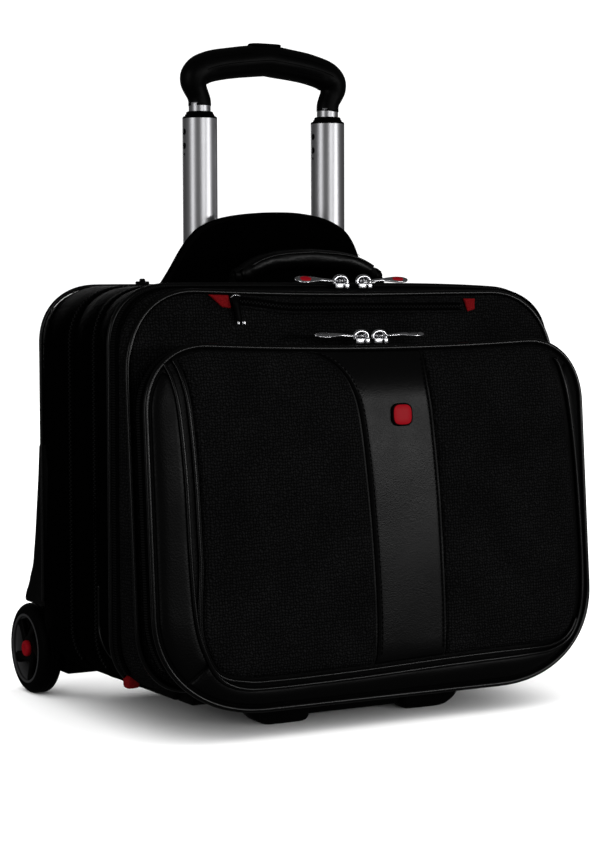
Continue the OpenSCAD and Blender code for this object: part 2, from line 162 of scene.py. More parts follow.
def smooth(points, count, closed=False):
    """A smooth curve through a few points, with points evenly spaced along it."""
    p = np.asarray(points, float)
    ends = (p[-1:], p[:2]) if closed else (2 * p[:1] - p[1:2], 2 * p[-1:] - p[-2:-1])
    q = np.concatenate([ends[0], p, ends[1]])
    t = np.linspace(0, 1, 16, endpoint=False)[:, None]
    pieces = []
    for a, b, c, d in zip(q, q[1:], q[2:], q[3:]):
        pieces.append(
            0.5 * (2 * b + (c - a) * t + (2 * a - 5 * b + 4 * c - d) * t**2
                   + (3 * b - a - 3 * c + d) * t**3)
        )
    fine = np.concatenate(pieces + ([] if closed else [p[-1:]]))
    return evenly(fine, count, closed)


def evenly(path, count, closed=False):
    """The same path with count points at equal spacing."""
    p = np.concatenate([path, path[:1]]) if closed else np.asarray(path, float)
    along = np.concatenate([[0], np.cumsum(np.linalg.norm(np.diff(p, axis=0), axis=1))])
    at = np.linspace(0, along[-1], count + 1)[:-1] if closed else np.linspace(0, along[-1], count)
    return np.stack([np.interp(at, along, p[:, k]) for k in range(p.shape[1])], 1)


def path_length(path):
    """The length of a path."""
    return float(np.linalg.norm(np.diff(path, axis=0), axis=1).sum())


def unit(vectors):
    """The vectors at length 1."""
    return vectors / np.maximum(np.linalg.norm(vectors, axis=-1, keepdims=True), 1e-9)


def tangents(path, closed=False):
    """The direction of a path at each of its points."""
    if closed:
        return unit(np.roll(path, -1, 0) - np.roll(path, 1, 0))
    return unit(np.gradient(path, axis=0))


def outward(loop):
    """Outward normals of a closed loop in X and Z that runs from the underside round by +X."""
    t = tangents(loop, True)
    return np.stack([t[:, 1], -t[:, 0]], 1)


def distance(points, loop):
    """Distance of each 2-D point from a closed polyline."""
    best = np.full(len(points), 1e9)
    for start, end in zip(loop, np.roll(loop, -1, 0)):
        d = end - start
        t = np.clip(((points - start) @ d) / max(d @ d, 1e-9), 0, 1)
        best = np.minimum(best, np.linalg.norm(points - start - t[:, None] * d, axis=1))
    return best


def step(low, high, x):
    """0 below low, 1 above high and a smooth rise between. low may be the larger, for a fall."""
    t = np.clip((np.asarray(x, float) - low) / (high - low), 0, 1)
    return t * t * (3 - 2 * t)


def rounded(share):
    """Quarter-round profile: 0 at the edge, 1 from share 1 on."""
    return np.sqrt(1 - (1 - np.clip(share, 0, 1)) ** 2)


def rippled(points, size, amount, seed=0.0):
    """Points moved by smooth noise, which gives cloth its slight waviness.

    noise_vector takes its offsets from the clock, so the waves differ from one run to the next.
    """
    moved = np.array(points, float)
    for i, p in enumerate(moved):
        moved[i] += np.array(noise.noise_vector(Vector(p / size) + Vector((seed, seed, seed)))) * amount
    return moved


# ---------- meshes as (points, faces) parts ----------

def skin(rings, looped=False, first_cap=False, last_cap=False):
    """Faces between closed rings with the same number of points."""
    count, total = len(rings[0]), len(rings)
    faces = []
    for r in range(total if looped else total - 1):
        a, b = r * count, ((r + 1) % total) * count
        for i in range(count):
            j = (i + 1) % count
            faces.append((a + i, a + j, b + j, b + i))
    if first_cap:
        faces.append(tuple(range(count))[::-1])
    if last_cap:
        faces.append(tuple(range((total - 1) * count, total * count)))
    return np.concatenate(rings), faces


def capped(rings):
    """A closed part over rings, with a face over each end."""
    return skin(rings, first_cap=True, last_cap=True)


def merged(parts):
    """Several parts as one."""
    points, faces, start = [], [], 0
    for p, f in parts:
        points.append(np.asarray(p, float))
        faces += [tuple(i + start for i in face) for face in f]
        start += len(p)
    return np.concatenate(points), faces


def tube(path, radius, sides=12, closed=False):
    """A round tube along a path. radius may be one per point."""
    path = np.asarray(path, float)
    t = tangents(path, closed)
    centred = path - path.mean(0)
    flat = np.linalg.svd(centred, full_matrices=False)[2][2]
    radius = np.broadcast_to(np.asarray(radius, float), (len(path),))
    normal = unit(flat - t[0] * (flat @ t[0]))
    rings = []
    turn = turns(sides)
    for p, d, r in zip(path, t, radius):
        normal = unit(normal - d * (normal @ d))
        other = np.cross(d, normal)
        rings.append(p + r * (np.outer(np.cos(turn), normal) + np.outer(np.sin(turn), other)))
    if not closed:
        rings = [path[0] + (rings[0] - path[0]) * 0.6 - t[0] * radius[0] * 0.3] + rings
        rings = rings + [path[-1] + (rings[-1] - path[-1]) * 0.6 + t[-1] * radius[-1] * 0.3]
    return skin(rings, looped=closed, first_cap=not closed, last_cap=not closed)


def ribbon(path, out, width, thick, closed=False, crown=0.0):
    """A flat strap along a path, lying on the surface whose outward normals are given."""
    out = np.broadcast_to(np.asarray(out, float), path.shape)
    side = unit(np.cross(tangents(path, closed), out))
    half, edge = width / 2, min(thick, width / 4)
    section = [(-half, 0), (-half, thick * 0.5), (-half + edge, thick), (0, thick + crown)]
    section += [(half - edge, thick), (half, thick * 0.5), (half, 0)]
    rings = [
        np.array([p + s * a + n * b for a, b in section])
        for p, s, n in zip(path, side, unit(out))
    ]
    return skin(rings, looped=closed, first_cap=not closed, last_cap=not closed)


def repeated(template, path, out, pitch, flip=False):
    """Copies of a small part along a path.

    template is in (along, across, out), and flip mirrors every other copy.
    """
    points, faces = template
    count = max(2, round(path_length(path) / pitch))
    both = evenly(np.concatenate([path, np.broadcast_to(out, path.shape)], 1), count)
    at, n = both[:, :3], unit(both[:, 3:])
    t = tangents(at)
    side = unit(np.cross(t, n))
    parts = []
    for k in range(count):
        p = np.array(points, float)
        if flip and k % 2:
            p[:, 1] *= -1
        parts.append((at[k] + p[:, :1] * t[k] + p[:, 1:2] * side[k] + p[:, 2:] * n[k], faces))
    return merged(parts)


def box_part(low, high, bevel=0.0):
    """A box with bevelled edges, as a part."""
    low, high = np.asarray(low, float), np.asarray(high, float)
    bm = bmesh.new()
    bmesh.ops.create_cube(bm, size=1)
    size, middle = high - low, (high + low) / 2
    for v in bm.verts:
        v.co = Vector(middle + np.array(v.co) * size)
    if bevel:
        bmesh.ops.bevel(bm, geom=bm.edges[:], offset=bevel, segments=3, profile=0.5, affect="EDGES")
    points = np.array([v.co for v in bm.verts])
    faces = [tuple(v.index for v in f.verts) for f in bm.faces]
    bm.free()
    return points, faces


def capsule(length, radius, sides=6):
    """A thread between two holes, sunk at its ends, in (along, across, out)."""
    turn = turns(sides)
    rings = []
    for share, scale in ((-0.5, 0.35), (-0.34, 0.9), (0, 1), (0.34, 0.9), (0.5, 0.35)):
        rise = radius * (0.9 if abs(share) < 0.4 else 0.2)
        rings.append(points_of(share * length, np.cos(turn) * radius * scale,
                               np.sin(turn) * radius * scale + rise))
    return capped(rings)


def stitches(path, out, pitch=4.6, length=3.2, radius=0.42):
    """A row of stitches along a path."""
    return repeated(capsule(length, radius), path, out, pitch)


def tooth(reach, high=1.3):
    """One coil of a zip: a low rounded bar that runs across the zip."""
    half = 0.625
    return box_part((-half, -reach * 0.15, -0.2), (half, reach, high), 0.35)


def turned(profile, centre, side, sides=72):
    """A closed profile of (radius, X) turned about an axis along X, mirrored for the left side."""
    y, z = centre
    return skin([np.array([(side * x, y + r * cos(a), z + r * sin(a)) for r, x in profile])
                 for a in turns(sides)], looped=True)


def round_both_tubes(profile, sides=48):
    """A closed profile of (radius, Z) turned about each of the two trolley tubes."""
    parts = []
    for x in (-TUBE_X, TUBE_X):
        parts.append(skin([np.array([(x + r * cos(a), TUBE_Y + r * sin(a), z) for r, z in profile])
                           for a in turns(sides)], looped=True))
    return merged(parts)


def coons(bottom, right, top, left, across, up):
    """A grid of 2-D points that fills four edge curves."""
    bottom, top = evenly(bottom, across), evenly(top, across)
    left, right = evenly(left, up), evenly(right, up)
    s = np.linspace(0, 1, across)[None, :, None]
    t = np.linspace(0, 1, up)[:, None, None]
    ruled = (1 - t) * bottom[None] + t * top[None] + (1 - s) * left[:, None] + s * right[:, None]
    corners = (1 - s) * (1 - t) * bottom[0] + s * (1 - t) * bottom[-1]
    corners = corners + (1 - s) * t * top[0] + s * t * top[-1]
    return ruled - corners


def slab_of(front, back):
    """A closed shell between two grids of points with the same shape."""
    rows, columns = front.shape[:2]
    index = np.arange(rows * columns).reshape(rows, columns)
    shift = rows * columns
    faces = []
    for i in range(rows - 1):
        for j in range(columns - 1):
            quad = (index[i, j], index[i, j + 1], index[i + 1, j + 1], index[i + 1, j])
            faces.append(tuple(int(k) for k in quad))
            faces.append(tuple(int(k) + shift for k in quad[::-1]))
    rim = rim_of(index).tolist()
    for a, b in zip(rim, rim[1:] + rim[:1]):
        faces.append((b, a, a + shift, b + shift))
    return np.concatenate([front.reshape(-1, 3), back.reshape(-1, 3)]), faces


def build(name, part, material, body, nodes=(), sharp=None):
    """Makes the piece in the shared frame, gives it its finish and lets it ride on its body."""
    points, faces = part
    points = np.asarray(points, float) * MM + [0, SHIFT_Y, 0]
    mesh = bpy.data.meshes.new(name)
    mesh.from_pydata(points.tolist(), [], [list(f) for f in faces])
    bm = bmesh.new()
    bm.from_mesh(mesh)
    bmesh.ops.remove_doubles(bm, verts=bm.verts, dist=1e-6)
    bmesh.ops.recalc_face_normals(bm, faces=bm.faces)
    for face in bm.faces:
        face.smooth = True
    bm.to_mesh(mesh)
    bm.free()
    if sharp is not None:
        mesh.set_sharp_from_angle(angle=radians(sharp))
    piece = bpy.data.objects.new(name, mesh)
    bpy.context.scene.collection.objects.link(piece)
    piece.data.materials.append(material)
    if body:
        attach(piece, body)
    if nodes:
        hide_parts(*nodes)
    return piece


# ---------- materials ----------

def link_or_set(tree, socket, value):
    """Gives a socket a number, or the output of another node."""
    if isinstance(value, bpy.types.NodeSocket):
        tree.links.new(value, socket)
    else:
        socket.default_value = value


def calc(tree, operation, a, b=0.0, c=0.0):
    """The result of a sum on numbers or the outputs of nodes."""
    node = tree.nodes.new("ShaderNodeMath")
    node.operation = operation
    for socket, value in zip(node.inputs, (a, b, c)):
        link_or_set(tree, socket, value)
    return node.outputs[0]


def noise_of(tree, vector, scale, detail=2.0, rough=0.5):
    """Smooth noise, mostly between 0.3 and 0.7."""
    node = tree.nodes.new("ShaderNodeTexNoise")
    node.inputs["Scale"].default_value = scale
    node.inputs["Detail"].default_value = detail
    node.inputs["Roughness"].default_value = rough
    tree.links.new(vector, node.inputs["Vector"])
    return node.outputs["Fac"]


def cells_of(tree, vector, scale):
    """Distance from the middle of the nearest of many random cells."""
    node = tree.nodes.new("ShaderNodeTexVoronoi")
    node.inputs["Scale"].default_value = scale
    tree.links.new(vector, node.inputs["Vector"])
    return node.outputs["Distance"]


def stretched(tree, vector, scale):
    """Coordinates scaled by three numbers."""
    node = tree.nodes.new("ShaderNodeMapping")
    node.inputs["Scale"].default_value = scale
    tree.links.new(vector, node.inputs["Vector"])
    return node.outputs["Vector"]


def remap(tree, value, low, high, to_low, to_high):
    """A value moved from one range to another and kept within it."""
    node = tree.nodes.new("ShaderNodeMapRange")
    link_or_set(tree, node.inputs["Value"], value)
    for key, number in (("From Min", low), ("From Max", high), ("To Min", to_low), ("To Max", to_high)):
        node.inputs[key].default_value = number
    return node.outputs["Result"]


def blended(tree, share, dark, light):
    """A colour between two greys or colours."""
    node = tree.nodes.new("ShaderNodeMix")
    node.data_type = "RGBA"
    link_or_set(tree, node.inputs[0], share)
    node.inputs[6].default_value = (*dark, 1)
    node.inputs[7].default_value = (*light, 1)
    return node.outputs[2]


def bumped(tree, height, depth):
    """A surface direction from a height, which is worth depth metres."""
    node = tree.nodes.new("ShaderNodeBump")
    node.inputs["Strength"].default_value = 1.0
    node.inputs["Distance"].default_value = depth
    tree.links.new(height, node.inputs["Height"])
    return node.outputs["Normal"]


def shader(name, rough, specular, metallic=0.0):
    """A new material with its node tree, its surface shader and its coordinates."""
    material = bpy.data.materials.new(name)
    material.use_nodes = True
    tree = material.node_tree
    body = tree.nodes["Principled BSDF"]
    body.inputs["Roughness"].default_value = rough
    body.inputs["Specular IOR Level"].default_value = specular
    body.inputs["Metallic"].default_value = metallic
    where = tree.nodes.new("ShaderNodeTexCoord")
    return material, tree, body, where


def cloth_axes(tree, where):
    """Coordinates along the cloth, taken from whichever plane the surface faces."""
    place = tree.nodes.new("ShaderNodeSeparateXYZ")
    facing = tree.nodes.new("ShaderNodeSeparateXYZ")
    tree.links.new(where.outputs["Object"], place.inputs[0])
    tree.links.new(where.outputs["Normal"], facing.inputs[0])
    size = [calc(tree, "ABSOLUTE", facing.outputs[k]) for k in range(3)]
    on_side = calc(tree, "GREATER_THAN", size[0], calc(tree, "MAXIMUM", size[1], size[2]))
    on_top = calc(tree, "GREATER_THAN", size[2], calc(tree, "MAXIMUM", size[0], size[1]))
    x, y, z = place.outputs[0], place.outputs[1], place.outputs[2]
    u = calc(tree, "ADD", x, calc(tree, "MULTIPLY", on_side, calc(tree, "SUBTRACT", y, x)))
    v = calc(tree, "ADD", z, calc(tree, "MULTIPLY", on_top, calc(tree, "SUBTRACT", y, z)))
    return u, v


def weave_height(tree, where, thread, wander):
    """Height of a plain weave: threads pass over and under each other, a little unevenly."""
    u, v = cloth_axes(tree, where)
    drift = noise_of(tree, where.outputs["Object"], 0.55 / thread, 2.0)
    shift = calc(tree, "MULTIPLY", calc(tree, "SUBTRACT", drift, 0.5), wander)
    cu = calc(tree, "ADD", calc(tree, "DIVIDE", u, thread), shift)
    cv = calc(tree, "SUBTRACT", calc(tree, "DIVIDE", v, thread), shift)
    total = calc(tree, "ADD", calc(tree, "FLOOR", cu), calc(tree, "FLOOR", cv))
    over = calc(tree, "FLOORED_MODULO", total, 2.0)
    wave_u = calc(tree, "ABSOLUTE", calc(tree, "SINE", calc(tree, "MULTIPLY", cu, pi)))
    wave_v = calc(tree, "ABSOLUTE", calc(tree, "SINE", calc(tree, "MULTIPLY", cv, pi)))
    warp = calc(tree, "MULTIPLY", calc(tree, "SQRT", wave_u), calc(tree, "MULTIPLY_ADD", wave_v, 0.5, 0.5))
    weft = calc(tree, "MULTIPLY", calc(tree, "SQRT", wave_v), calc(tree, "MULTIPLY_ADD", wave_u, 0.5, 0.4))
    return calc(tree, "ADD", warp, calc(tree, "MULTIPLY", over, calc(tree, "SUBTRACT", weft, warp)))


def cloth(name, thread, dark, light, wander=1.2, depth=0.0005, specular=0.12, rough=0.85):
    """Woven cloth: a plain weave with patches and flecks, and painted shade in the hollows between its
    threads. wander is how unevenly its threads run.
    """
    material, tree, body, where = shader(name, rough, specular)
    height = weave_height(tree, where, thread, wander)
    patch = noise_of(tree, where.outputs["Object"], 24.0, 3.0)
    fleck = noise_of(tree, where.outputs["Object"], 900.0, 1.0)
    # The colour follows the weave's height, so painted shade darkens the hollows between threads; random
    # patches and flecks vary the tone.
    lit = calc(tree, "MULTIPLY", height, remap(tree, patch, 0.3, 0.7, 0.65, 1.0))
    lit = calc(tree, "MULTIPLY", lit, remap(tree, fleck, 0.3, 0.7, 0.55, 1.15))
    tree.links.new(blended(tree, lit, dark, light), body.inputs["Base Color"])
    tree.links.new(bumped(tree, height, depth), body.inputs["Normal"])
    return material


def leather(name, dark, light, rough, specular, grain=620.0, depth=0.0001, worn=1.0):
    """Smooth hide with pores and creases. worn is how much its wear shows, from 0 to 1."""
    material, tree, body, where = shader(name, rough, specular)
    place = where.outputs["Object"]
    pores = cells_of(tree, place, grain)
    creases = noise_of(tree, place, 150.0, 4.0, 0.6)
    wear = noise_of(tree, place, 28.0, 3.0, 0.6)
    height = calc(tree, "ADD", pores, calc(tree, "MULTIPLY", creases, 0.8))
    rubbed = remap(tree, wear, 0.3, 0.7, 1 - 0.5 * worn, 1.0)
    shade = calc(tree, "MULTIPLY", remap(tree, pores, 0.0, 0.6, 0.6, 1.0), rubbed)
    tree.links.new(blended(tree, shade, dark, light), body.inputs["Base Color"])
    rough_now = remap(tree, wear, 0.3, 0.7, rough + 0.08 * worn, rough - 0.06 * worn)
    tree.links.new(rough_now, body.inputs["Roughness"])
    tree.links.new(bumped(tree, height, depth), body.inputs["Normal"])
    return material


def moulded(name, dark, light, rough, specular, texture=1400.0):
    """Moulded plastic or rubber with a fine texture and handling marks."""
    material, tree, body, where = shader(name, rough, specular)
    place = where.outputs["Object"]
    fine = noise_of(tree, place, texture, 2.0)
    marks = noise_of(tree, place, 40.0, 4.0, 0.65)
    tree.links.new(blended(tree, marks, dark, light), body.inputs["Base Color"])
    tree.links.new(remap(tree, marks, 0.3, 0.7, rough - 0.08, rough + 0.1), body.inputs["Roughness"])
    tree.links.new(bumped(tree, fine, 0.00012), body.inputs["Normal"])
    return material


def metal(name, dark, light, rough, brush=(300, 300, 300), spread=0.05):
    """Bare metal. brush scales its grain along X, Y and Z, and spread is how much its roughness varies."""
    material, tree, body, where = shader(name, rough, 0.5, metallic=1.0)
    place = where.outputs["Object"]
    streaks = noise_of(tree, stretched(tree, place, brush), 1.0, 3.0, 0.6)
    smudge = noise_of(tree, place, 30.0, 3.0)
    tree.links.new(blended(tree, streaks, dark, light), body.inputs["Base Color"])
    mixed = calc(tree, "MULTIPLY_ADD", streaks, 0.6, calc(tree, "MULTIPLY", smudge, 0.4))
    tree.links.new(remap(tree, mixed, 0.3, 0.7, rough - spread, rough + spread), body.inputs["Roughness"])
    tree.links.new(bumped(tree, streaks, 0.00001), body.inputs["Normal"])
    return material


def grey(value):
    """A grey with a slight blue tint."""
    return (value, value, value * 1.03)


SHELL_CLOTH = cloth("shell_cloth", 0.0011, grey(0.0002), grey(0.0018), specular=0.01)
PANEL_CLOTH = cloth("panel_cloth", 0.0026, grey(0.0002), grey(0.032), wander=2.2, depth=0.0016,
                    specular=0.05)
LINING = cloth("lining", 0.0006, grey(0.02), grey(0.05), depth=0.0002, specular=0.2, rough=0.7)
HIDE = leather("hide", grey(0.001), grey(0.0035), rough=0.4, specular=0.13)
STRIPE = leather("stripe", grey(0.003), grey(0.006), rough=0.27, specular=0.1, grain=900.0, depth=0.00006,
                 worn=0.3)
PIPING = leather("piping", grey(0.0008), grey(0.002), rough=0.25, specular=0.3, grain=1200.0, depth=0.00001,
                 worn=0.5)
HANDLE_HIDE = leather("handle_hide", grey(0.001), grey(0.003), rough=0.34, specular=0.22, grain=500.0)
TAPE = cloth("zip_tape", 0.0007, grey(0.0004), grey(0.0045), depth=0.0003, specular=0.03)
COIL = moulded("zip_coil", grey(0.004), grey(0.01), rough=0.45, specular=0.15)
THREAD = cloth("thread", 0.0003, grey(0.0005), grey(0.003), depth=0.0001, specular=0.03)
RED_CLOTH = cloth("red_cloth", 0.0006, (0.3, 0.004, 0.006), (0.9, 0.03, 0.04), depth=0.0003)
RED_GLOSS = moulded("red_gloss", (0.8, 0.008, 0.02), (0.98, 0.014, 0.035), rough=0.4, specular=0.1)
PLASTIC = moulded("black_plastic", grey(0.0006), grey(0.002), rough=0.5, specular=0.06)
RUBBER = moulded("rubber", grey(0.001), grey(0.0025), rough=0.6, specular=0.05, texture=900.0)
GRIP = leather("grip", grey(0.0008), grey(0.0025), rough=0.42, specular=0.1, grain=1300.0)
ALUMINIUM = metal("brushed_aluminium", grey(0.78), grey(0.83), rough=0.38, brush=(900, 900, 8),
                  spread=0.02)
STEEL = metal("steel", grey(0.35), grey(0.5), rough=0.3, brush=(40, 900, 900))
CHROME = metal("zip_metal", grey(0.78), grey(0.86), rough=0.22)
WHEEL_GREY = moulded("wheel_grey", grey(0.1), grey(0.15), rough=0.3, specular=0.3)


# ---------- tub ----------

def tub_loop(y, grow=0.0):
    """The tub's outline at a depth, rounded into the flat back."""
    over = y - (BACK_Y - BACK_ROUND)
    inset = 0.0
    if over > 0:
        inset = BACK_ROUND - (max(BACK_ROUND**2 - over**2, 0)) ** 0.5
    return outline("tub", grow - inset)


def pillowed(y, seams, rise):
    """How far cloth bellies out at y, between seams at these depths."""
    for a, b in zip(seams, seams[1:]):
        if a <= y <= b:
            return rise * sin(pi * (y - a) / (b - a)) ** 0.8
    return 0.0


def make_tub():
    """The tub's padded cloth, which bellies out between its zips and cords, and its lining."""
    seams = (66, 97, 107, 147, 157, 214)
    round_start = BACK_Y - BACK_ROUND
    corner = round_start + BACK_ROUND * np.sin(np.radians(np.arange(11, 91, 11.25)))
    depths = np.concatenate([np.linspace(SEAM_Y, round_start, 50), corner])
    outer = [upright(tub_loop(y, pillowed(y, seams, 2.2)), y) for y in depths]
    back = [upright(outline("tub", -BACK_ROUND - g), BACK_Y + 1.5 * (1 - (1 - g / 150) ** 2))
            for g in (12, 30, 60, 100, 140)]
    shell = rippled(np.concatenate(outer + back), 46.0, 0.8)
    count = len(outer[0])
    rings = [shell[k:k + count] for k in range(0, len(shell), count)]
    rings[0] = outer[0]
    inner_depths = np.linspace(BACK_Y - WALL, SEAM_Y, 12)
    lining = [upright(outline("tub", -WALL - g), BACK_Y - WALL) for g in (140, 60, 10)]
    lining += [upright(outline("tub", -WALL), y) for y in inner_depths[1:]]
    build("tub_cloth", skin(rings, last_cap=True), SHELL_CLOTH, "case", ["tub_shell"])
    build("tub_lining", skin(lining + [outer[0]], first_cap=True), LINING, "case")


def half_zip(name, path, out, side, body, nodes=(), tape=7.0):
    """Half a zip along an edge: its coil on the edge and its tape beside it, towards side."""
    across = unit(np.cross(tangents(path), out))
    sign = 1.0 if (across.mean(0) @ side) > 0 else -1.0
    middle = path + across * sign * tape / 2
    build(name + "_tape", ribbon(middle, out, tape, 0.7), TAPE, body, nodes)
    points, faces = tooth(2.6)
    points = points * [1, sign, 1] + [0, 0, 0.6]
    build(name + "_coil", repeated((points, faces), path, out, 2.1), COIL, body)


def full_zip(name, path, out, body, nodes=(), width=9.0, reach=2.4):
    """A shut zip: one tape, a coil of alternating teeth and a stitch line on each side."""
    build(name + "_tape", ribbon(path, out, width, 0.8), TAPE, body, nodes)
    points, faces = tooth(reach, high=0.5 * reach)
    coil = repeated((points + [0, 0, 0.7], faces), path, out, 1.7, flip=True)
    build(name + "_coil", coil, COIL, body)
    side = unit(np.cross(tangents(path), out))
    rows = [stitches(path + side * s * width * 0.42 + out * 0.7, out) for s in (-1, 1)]
    build(name + "_stitches", merged(rows), THREAD, body)


def band_path(y, grow, low):
    """Path and outward normals of a band over the tub, from a height on its right to its left."""
    loop = fine_outline("tub", grow, 420)
    keep = loop[:, 1] > low
    return upright(loop[keep], y), upright(outward(loop)[keep], 0)


def make_tub_zips():
    """The two zips that run over the tub."""
    for name, y, node in (("middle_zip", 102, "zip_middle"), ("rear_zip", 152, "zip_rear")):
        path, out = band_path(y, 0.4, 50)
        full_zip(name, path, out, "case", [node])


def piping_at(name, path, out, radius, body, nodes=(), closed=False, tail=None):
    """Edge piping: a cord in a leather sleeve. tail is the way to its sewn flange, if that shows."""
    parts = [tube(path + out * radius * 0.7, radius, 10, closed)]
    if tail is not None:
        parts.append(ribbon(path + np.asarray(tail) + out * 0.2, out, 5.0, 0.9, closed, crown=0.4))
    build(name, merged(parts), PIPING, body, nodes)


def make_tub_trim():
    """The cords round the tub's rim and back edge, and the sewn seam on its back."""
    path, out = band_path(70.5, 0.0, 48)
    piping_at("rim_cord", path, out, 2.4, "case", ["rim_piping"], tail=(0, 5.0, 0))
    path, out = band_path(214, 0.6, 90)
    piping_at("back_cord", path, out, 1.9, "case")
    loop = evenly(outline("tub", -30), 300, True)
    seam = upright(loop[loop[:, 1] > 236], BACK_Y + 0.8)
    row = stitches(seam * [0.972, 1, 0.985] + [0, 0.8, 0], np.array([0, 1, 0.0]))
    build("back_seam", merged([tube(seam, 1.3, 8), row]), PIPING, "case")


def make_side_seams():
    """The bound seam that curves down each side of the tub to its underside."""
    curve = smooth([(97, 120), (97, 99), (96, 82), (88, 70), (76, 62), (66, 58)], 60)
    loop = outline("tub", 0.8, fine=True)
    right_side = loop[12:60]
    x = np.interp(curve[:, 1], right_side[:, 1], right_side[:, 0])
    parts = [tube(points_of(side * x, curve[:, 0], curve[:, 1]), 1.4, 8) for side in (1, -1)]
    build("side_seams", merged(parts), PIPING, "case")


# ---------- lid ----------

def lid_rings(grow=0.0, steps=9, belly=1.6):
    """Rings from the lid's leaning face back to its seam with the tub."""
    seam = outline("tub", grow)
    front, back = tilted(outline("lid", grow), LID_V), upright(seam, LID_SEAM)
    out = upright(outward(seam), 0)
    return [front * (1 - t) + back * t + out * belly * sin(pi * t) for t in np.linspace(0, 1, steps)]


def make_lid():
    """The lid's padded cloth, face and sides, and its lining."""
    rim = lid_rings()
    face = []
    for g in (200, 130, 80, 45, 22, 9, 3):
        loop = outline("lid", -min(g, 165))
        rise = 2.5 * rounded(g / 24)
        face.append(tilted(loop, LID_V - rise))
    rings = face + rim
    count = len(rings[0])
    shell = rippled(np.concatenate(rings[:-1]), 50.0, 0.6, 7.0)
    outer = [shell[k:k + count] for k in range(0, len(shell), count)] + [rings[-1]]
    inner = lid_rings(-WALL, 5, 0.0)[::-1]
    inner[-1] = tilted(outline("lid", -WALL), LID_V + WALL)
    back = []
    for g in (10, 60, 160):
        back.append(tilted(outline("lid", -WALL - g), LID_V + WALL))
    build("lid_cloth", skin(outer, first_cap=True), PANEL_CLOTH, "lid", ["lid_shell"])
    build("lid_lining", skin([outer[-1]] + inner + back, last_cap=True), LINING, "lid")


def face_out(loop):
    """Outward normals of a loop on a leaning face, along the face."""
    n = outward(loop)
    return leaned(n[:, 0], 0.0, n[:, 1] + LEAN_Z) - [0, LEAN_Y, LEAN_Z]


def make_lid_trim():
    """The cord round the lid's face and the main zip, half on the lid and half on the tub."""
    loop = fine_outline("lid", 0.0, 420)
    path = tilted(loop, LID_V)
    piping_at("lid_cord", path, face_out(loop), 2.4, "lid", ["lid_piping"], closed=True, tail=(0, 5.5, 0))
    path, out = band_path(LID_SEAM - 0.4, 0.3, 50)
    half_zip("lid_zip", path, out, (0, -1, 0), "lid", ["lid_zip"])
    path, out = band_path(SEAM_Y + 0.4, 0.3, 50)
    half_zip("tub_zip", path, out, (0, 1, 0), "case")


def slit_line(x):
    """Height of the slit pocket's zip: it rises towards its left end."""
    return 354.6 + 5.4 * step(-52, -114, x)


def folded_tab(corners, v):
    """A small tab of folded cloth with raised pleats, from its four corners in X and height."""
    across, down = np.meshgrid(np.linspace(0, 1, 22), np.linspace(0, 1, 14))
    a, b, c, d = [np.array(p, float) for p in corners]
    s, t = across[..., None], down[..., None]
    flat = (1 - t) * ((1 - s) * a + s * b) + t * ((1 - s) * d + s * c)
    edge = np.minimum(np.minimum(across, 1 - across), np.minimum(down, 1 - down))
    lift = 0.5 + 1.1 * rounded(edge / 0.12) + 0.45 * np.sin(across * 9 + down * 5) * rounded(edge / 0.2)
    front = leaned(flat[..., 0], v - lift, flat[..., 1])
    return slab_of(front, leaned(flat[..., 0], v + 0.5, flat[..., 1]))


def make_slit_pocket():
    """The slit pocket's zip between two welts and two red end tabs."""
    v = LID_V - 2.7
    x = np.linspace(-SLIT_X, SLIT_X, 90)
    path = leaned(x, v, slit_line(x))
    out = np.broadcast_to(-LEAN_BACK, path.shape)
    full_zip("slit_zip_line", path, out, "lid", ["slit_zip"], width=6.5, reach=1.3)
    for name, offset in (("slit_welt_upper", 4.6), ("slit_welt_lower", -4.6)):
        lip = leaned(x, v - 0.4, slit_line(x) + offset)
        build(name, tube(lip, 1.3, 8), PANEL_CLOTH, "lid")
    tabs = [
        folded_tab([(-136, 365.5), (-117.5, 365), (-115.5, 354), (-123.5, 355)], v),
        folded_tab([(116, 361.5), (128, 361.5), (127, 352), (120, 350)], v),
    ]
    build("slit_end_tabs", merged(tabs), RED_CLOTH, "lid", ["slit_tabs"])
    make_slit_puller(v)


def make_slit_puller(v):
    """Black slider with a hanging cord pull that ends in two silver studs."""
    x, top = -112.5, 362.4
    body = box_part((x - 4.0, -2.6, top - 4.6), (x + 4.0, 0, top + 1.6), 1.0)
    strap = smooth([(x - 1.0, -3.0, top), (x - 0.4, -4.4, top - 5), (x + 1.2, -3.6, top - 11),
                    (x + 3.0, -2.8, top - 19)], 24)
    slider = [body, ribbon(strap, (0.15, -1, 0.1), 6.0, 1.5, crown=0.5)]
    studs = []
    for shift, radius in ((-0.6, 1.3), (4.6, 1.8)):
        stud = smooth([(x + 2.4 + shift, -3.2, top - 19.5), (x + 2.6 + shift, -3.2, top - 22.0)], 6)
        studs.append(tube(stud, radius, 12))
    crook = smooth([(x - 4.0, -3.0, top + 0.5), (x - 1.0, -3.8, top + 2.4), (x + 4.5, -3.0, top + 1.6)], 14)
    studs.append(tube(crook, 0.7, 8))
    for name, parts, material, slot, nodes in (
        ("slit_puller", slider, PLASTIC, "black_plastic", ["slit_slider"]),
        ("slit_puller_studs", studs, CHROME, "zip_metal", ()),
    ):
        points, faces = merged(parts)
        placed = leaned(points[:, 0], points[:, 1] + v, points[:, 2])
        build(name, (placed, faces), material, "slit_slider", nodes)


def make_gusset():
    """Soft wall between the lid's face and the pocket's zip."""
    start = POCKET_DEPTH + 1.5
    outer, inner = [], []
    for t in np.linspace(0, 1, 9):
        v = start + (LID_V - start) * t
        grow = -11 * t + 1.8 * sin(pi * t)
        for rings, extra in ((outer, 0.0), (inner, -2.5)):
            rings.append(tilted(outline("pocket", grow + extra), v))
    points, faces = skin(outer + inner[::-1], looped=True)
    soft = rippled(points, 40.0, 0.5, 3.0)
    build("pocket_gusset_cloth", (soft, faces), HIDE, "lid", ["pocket_gusset"])


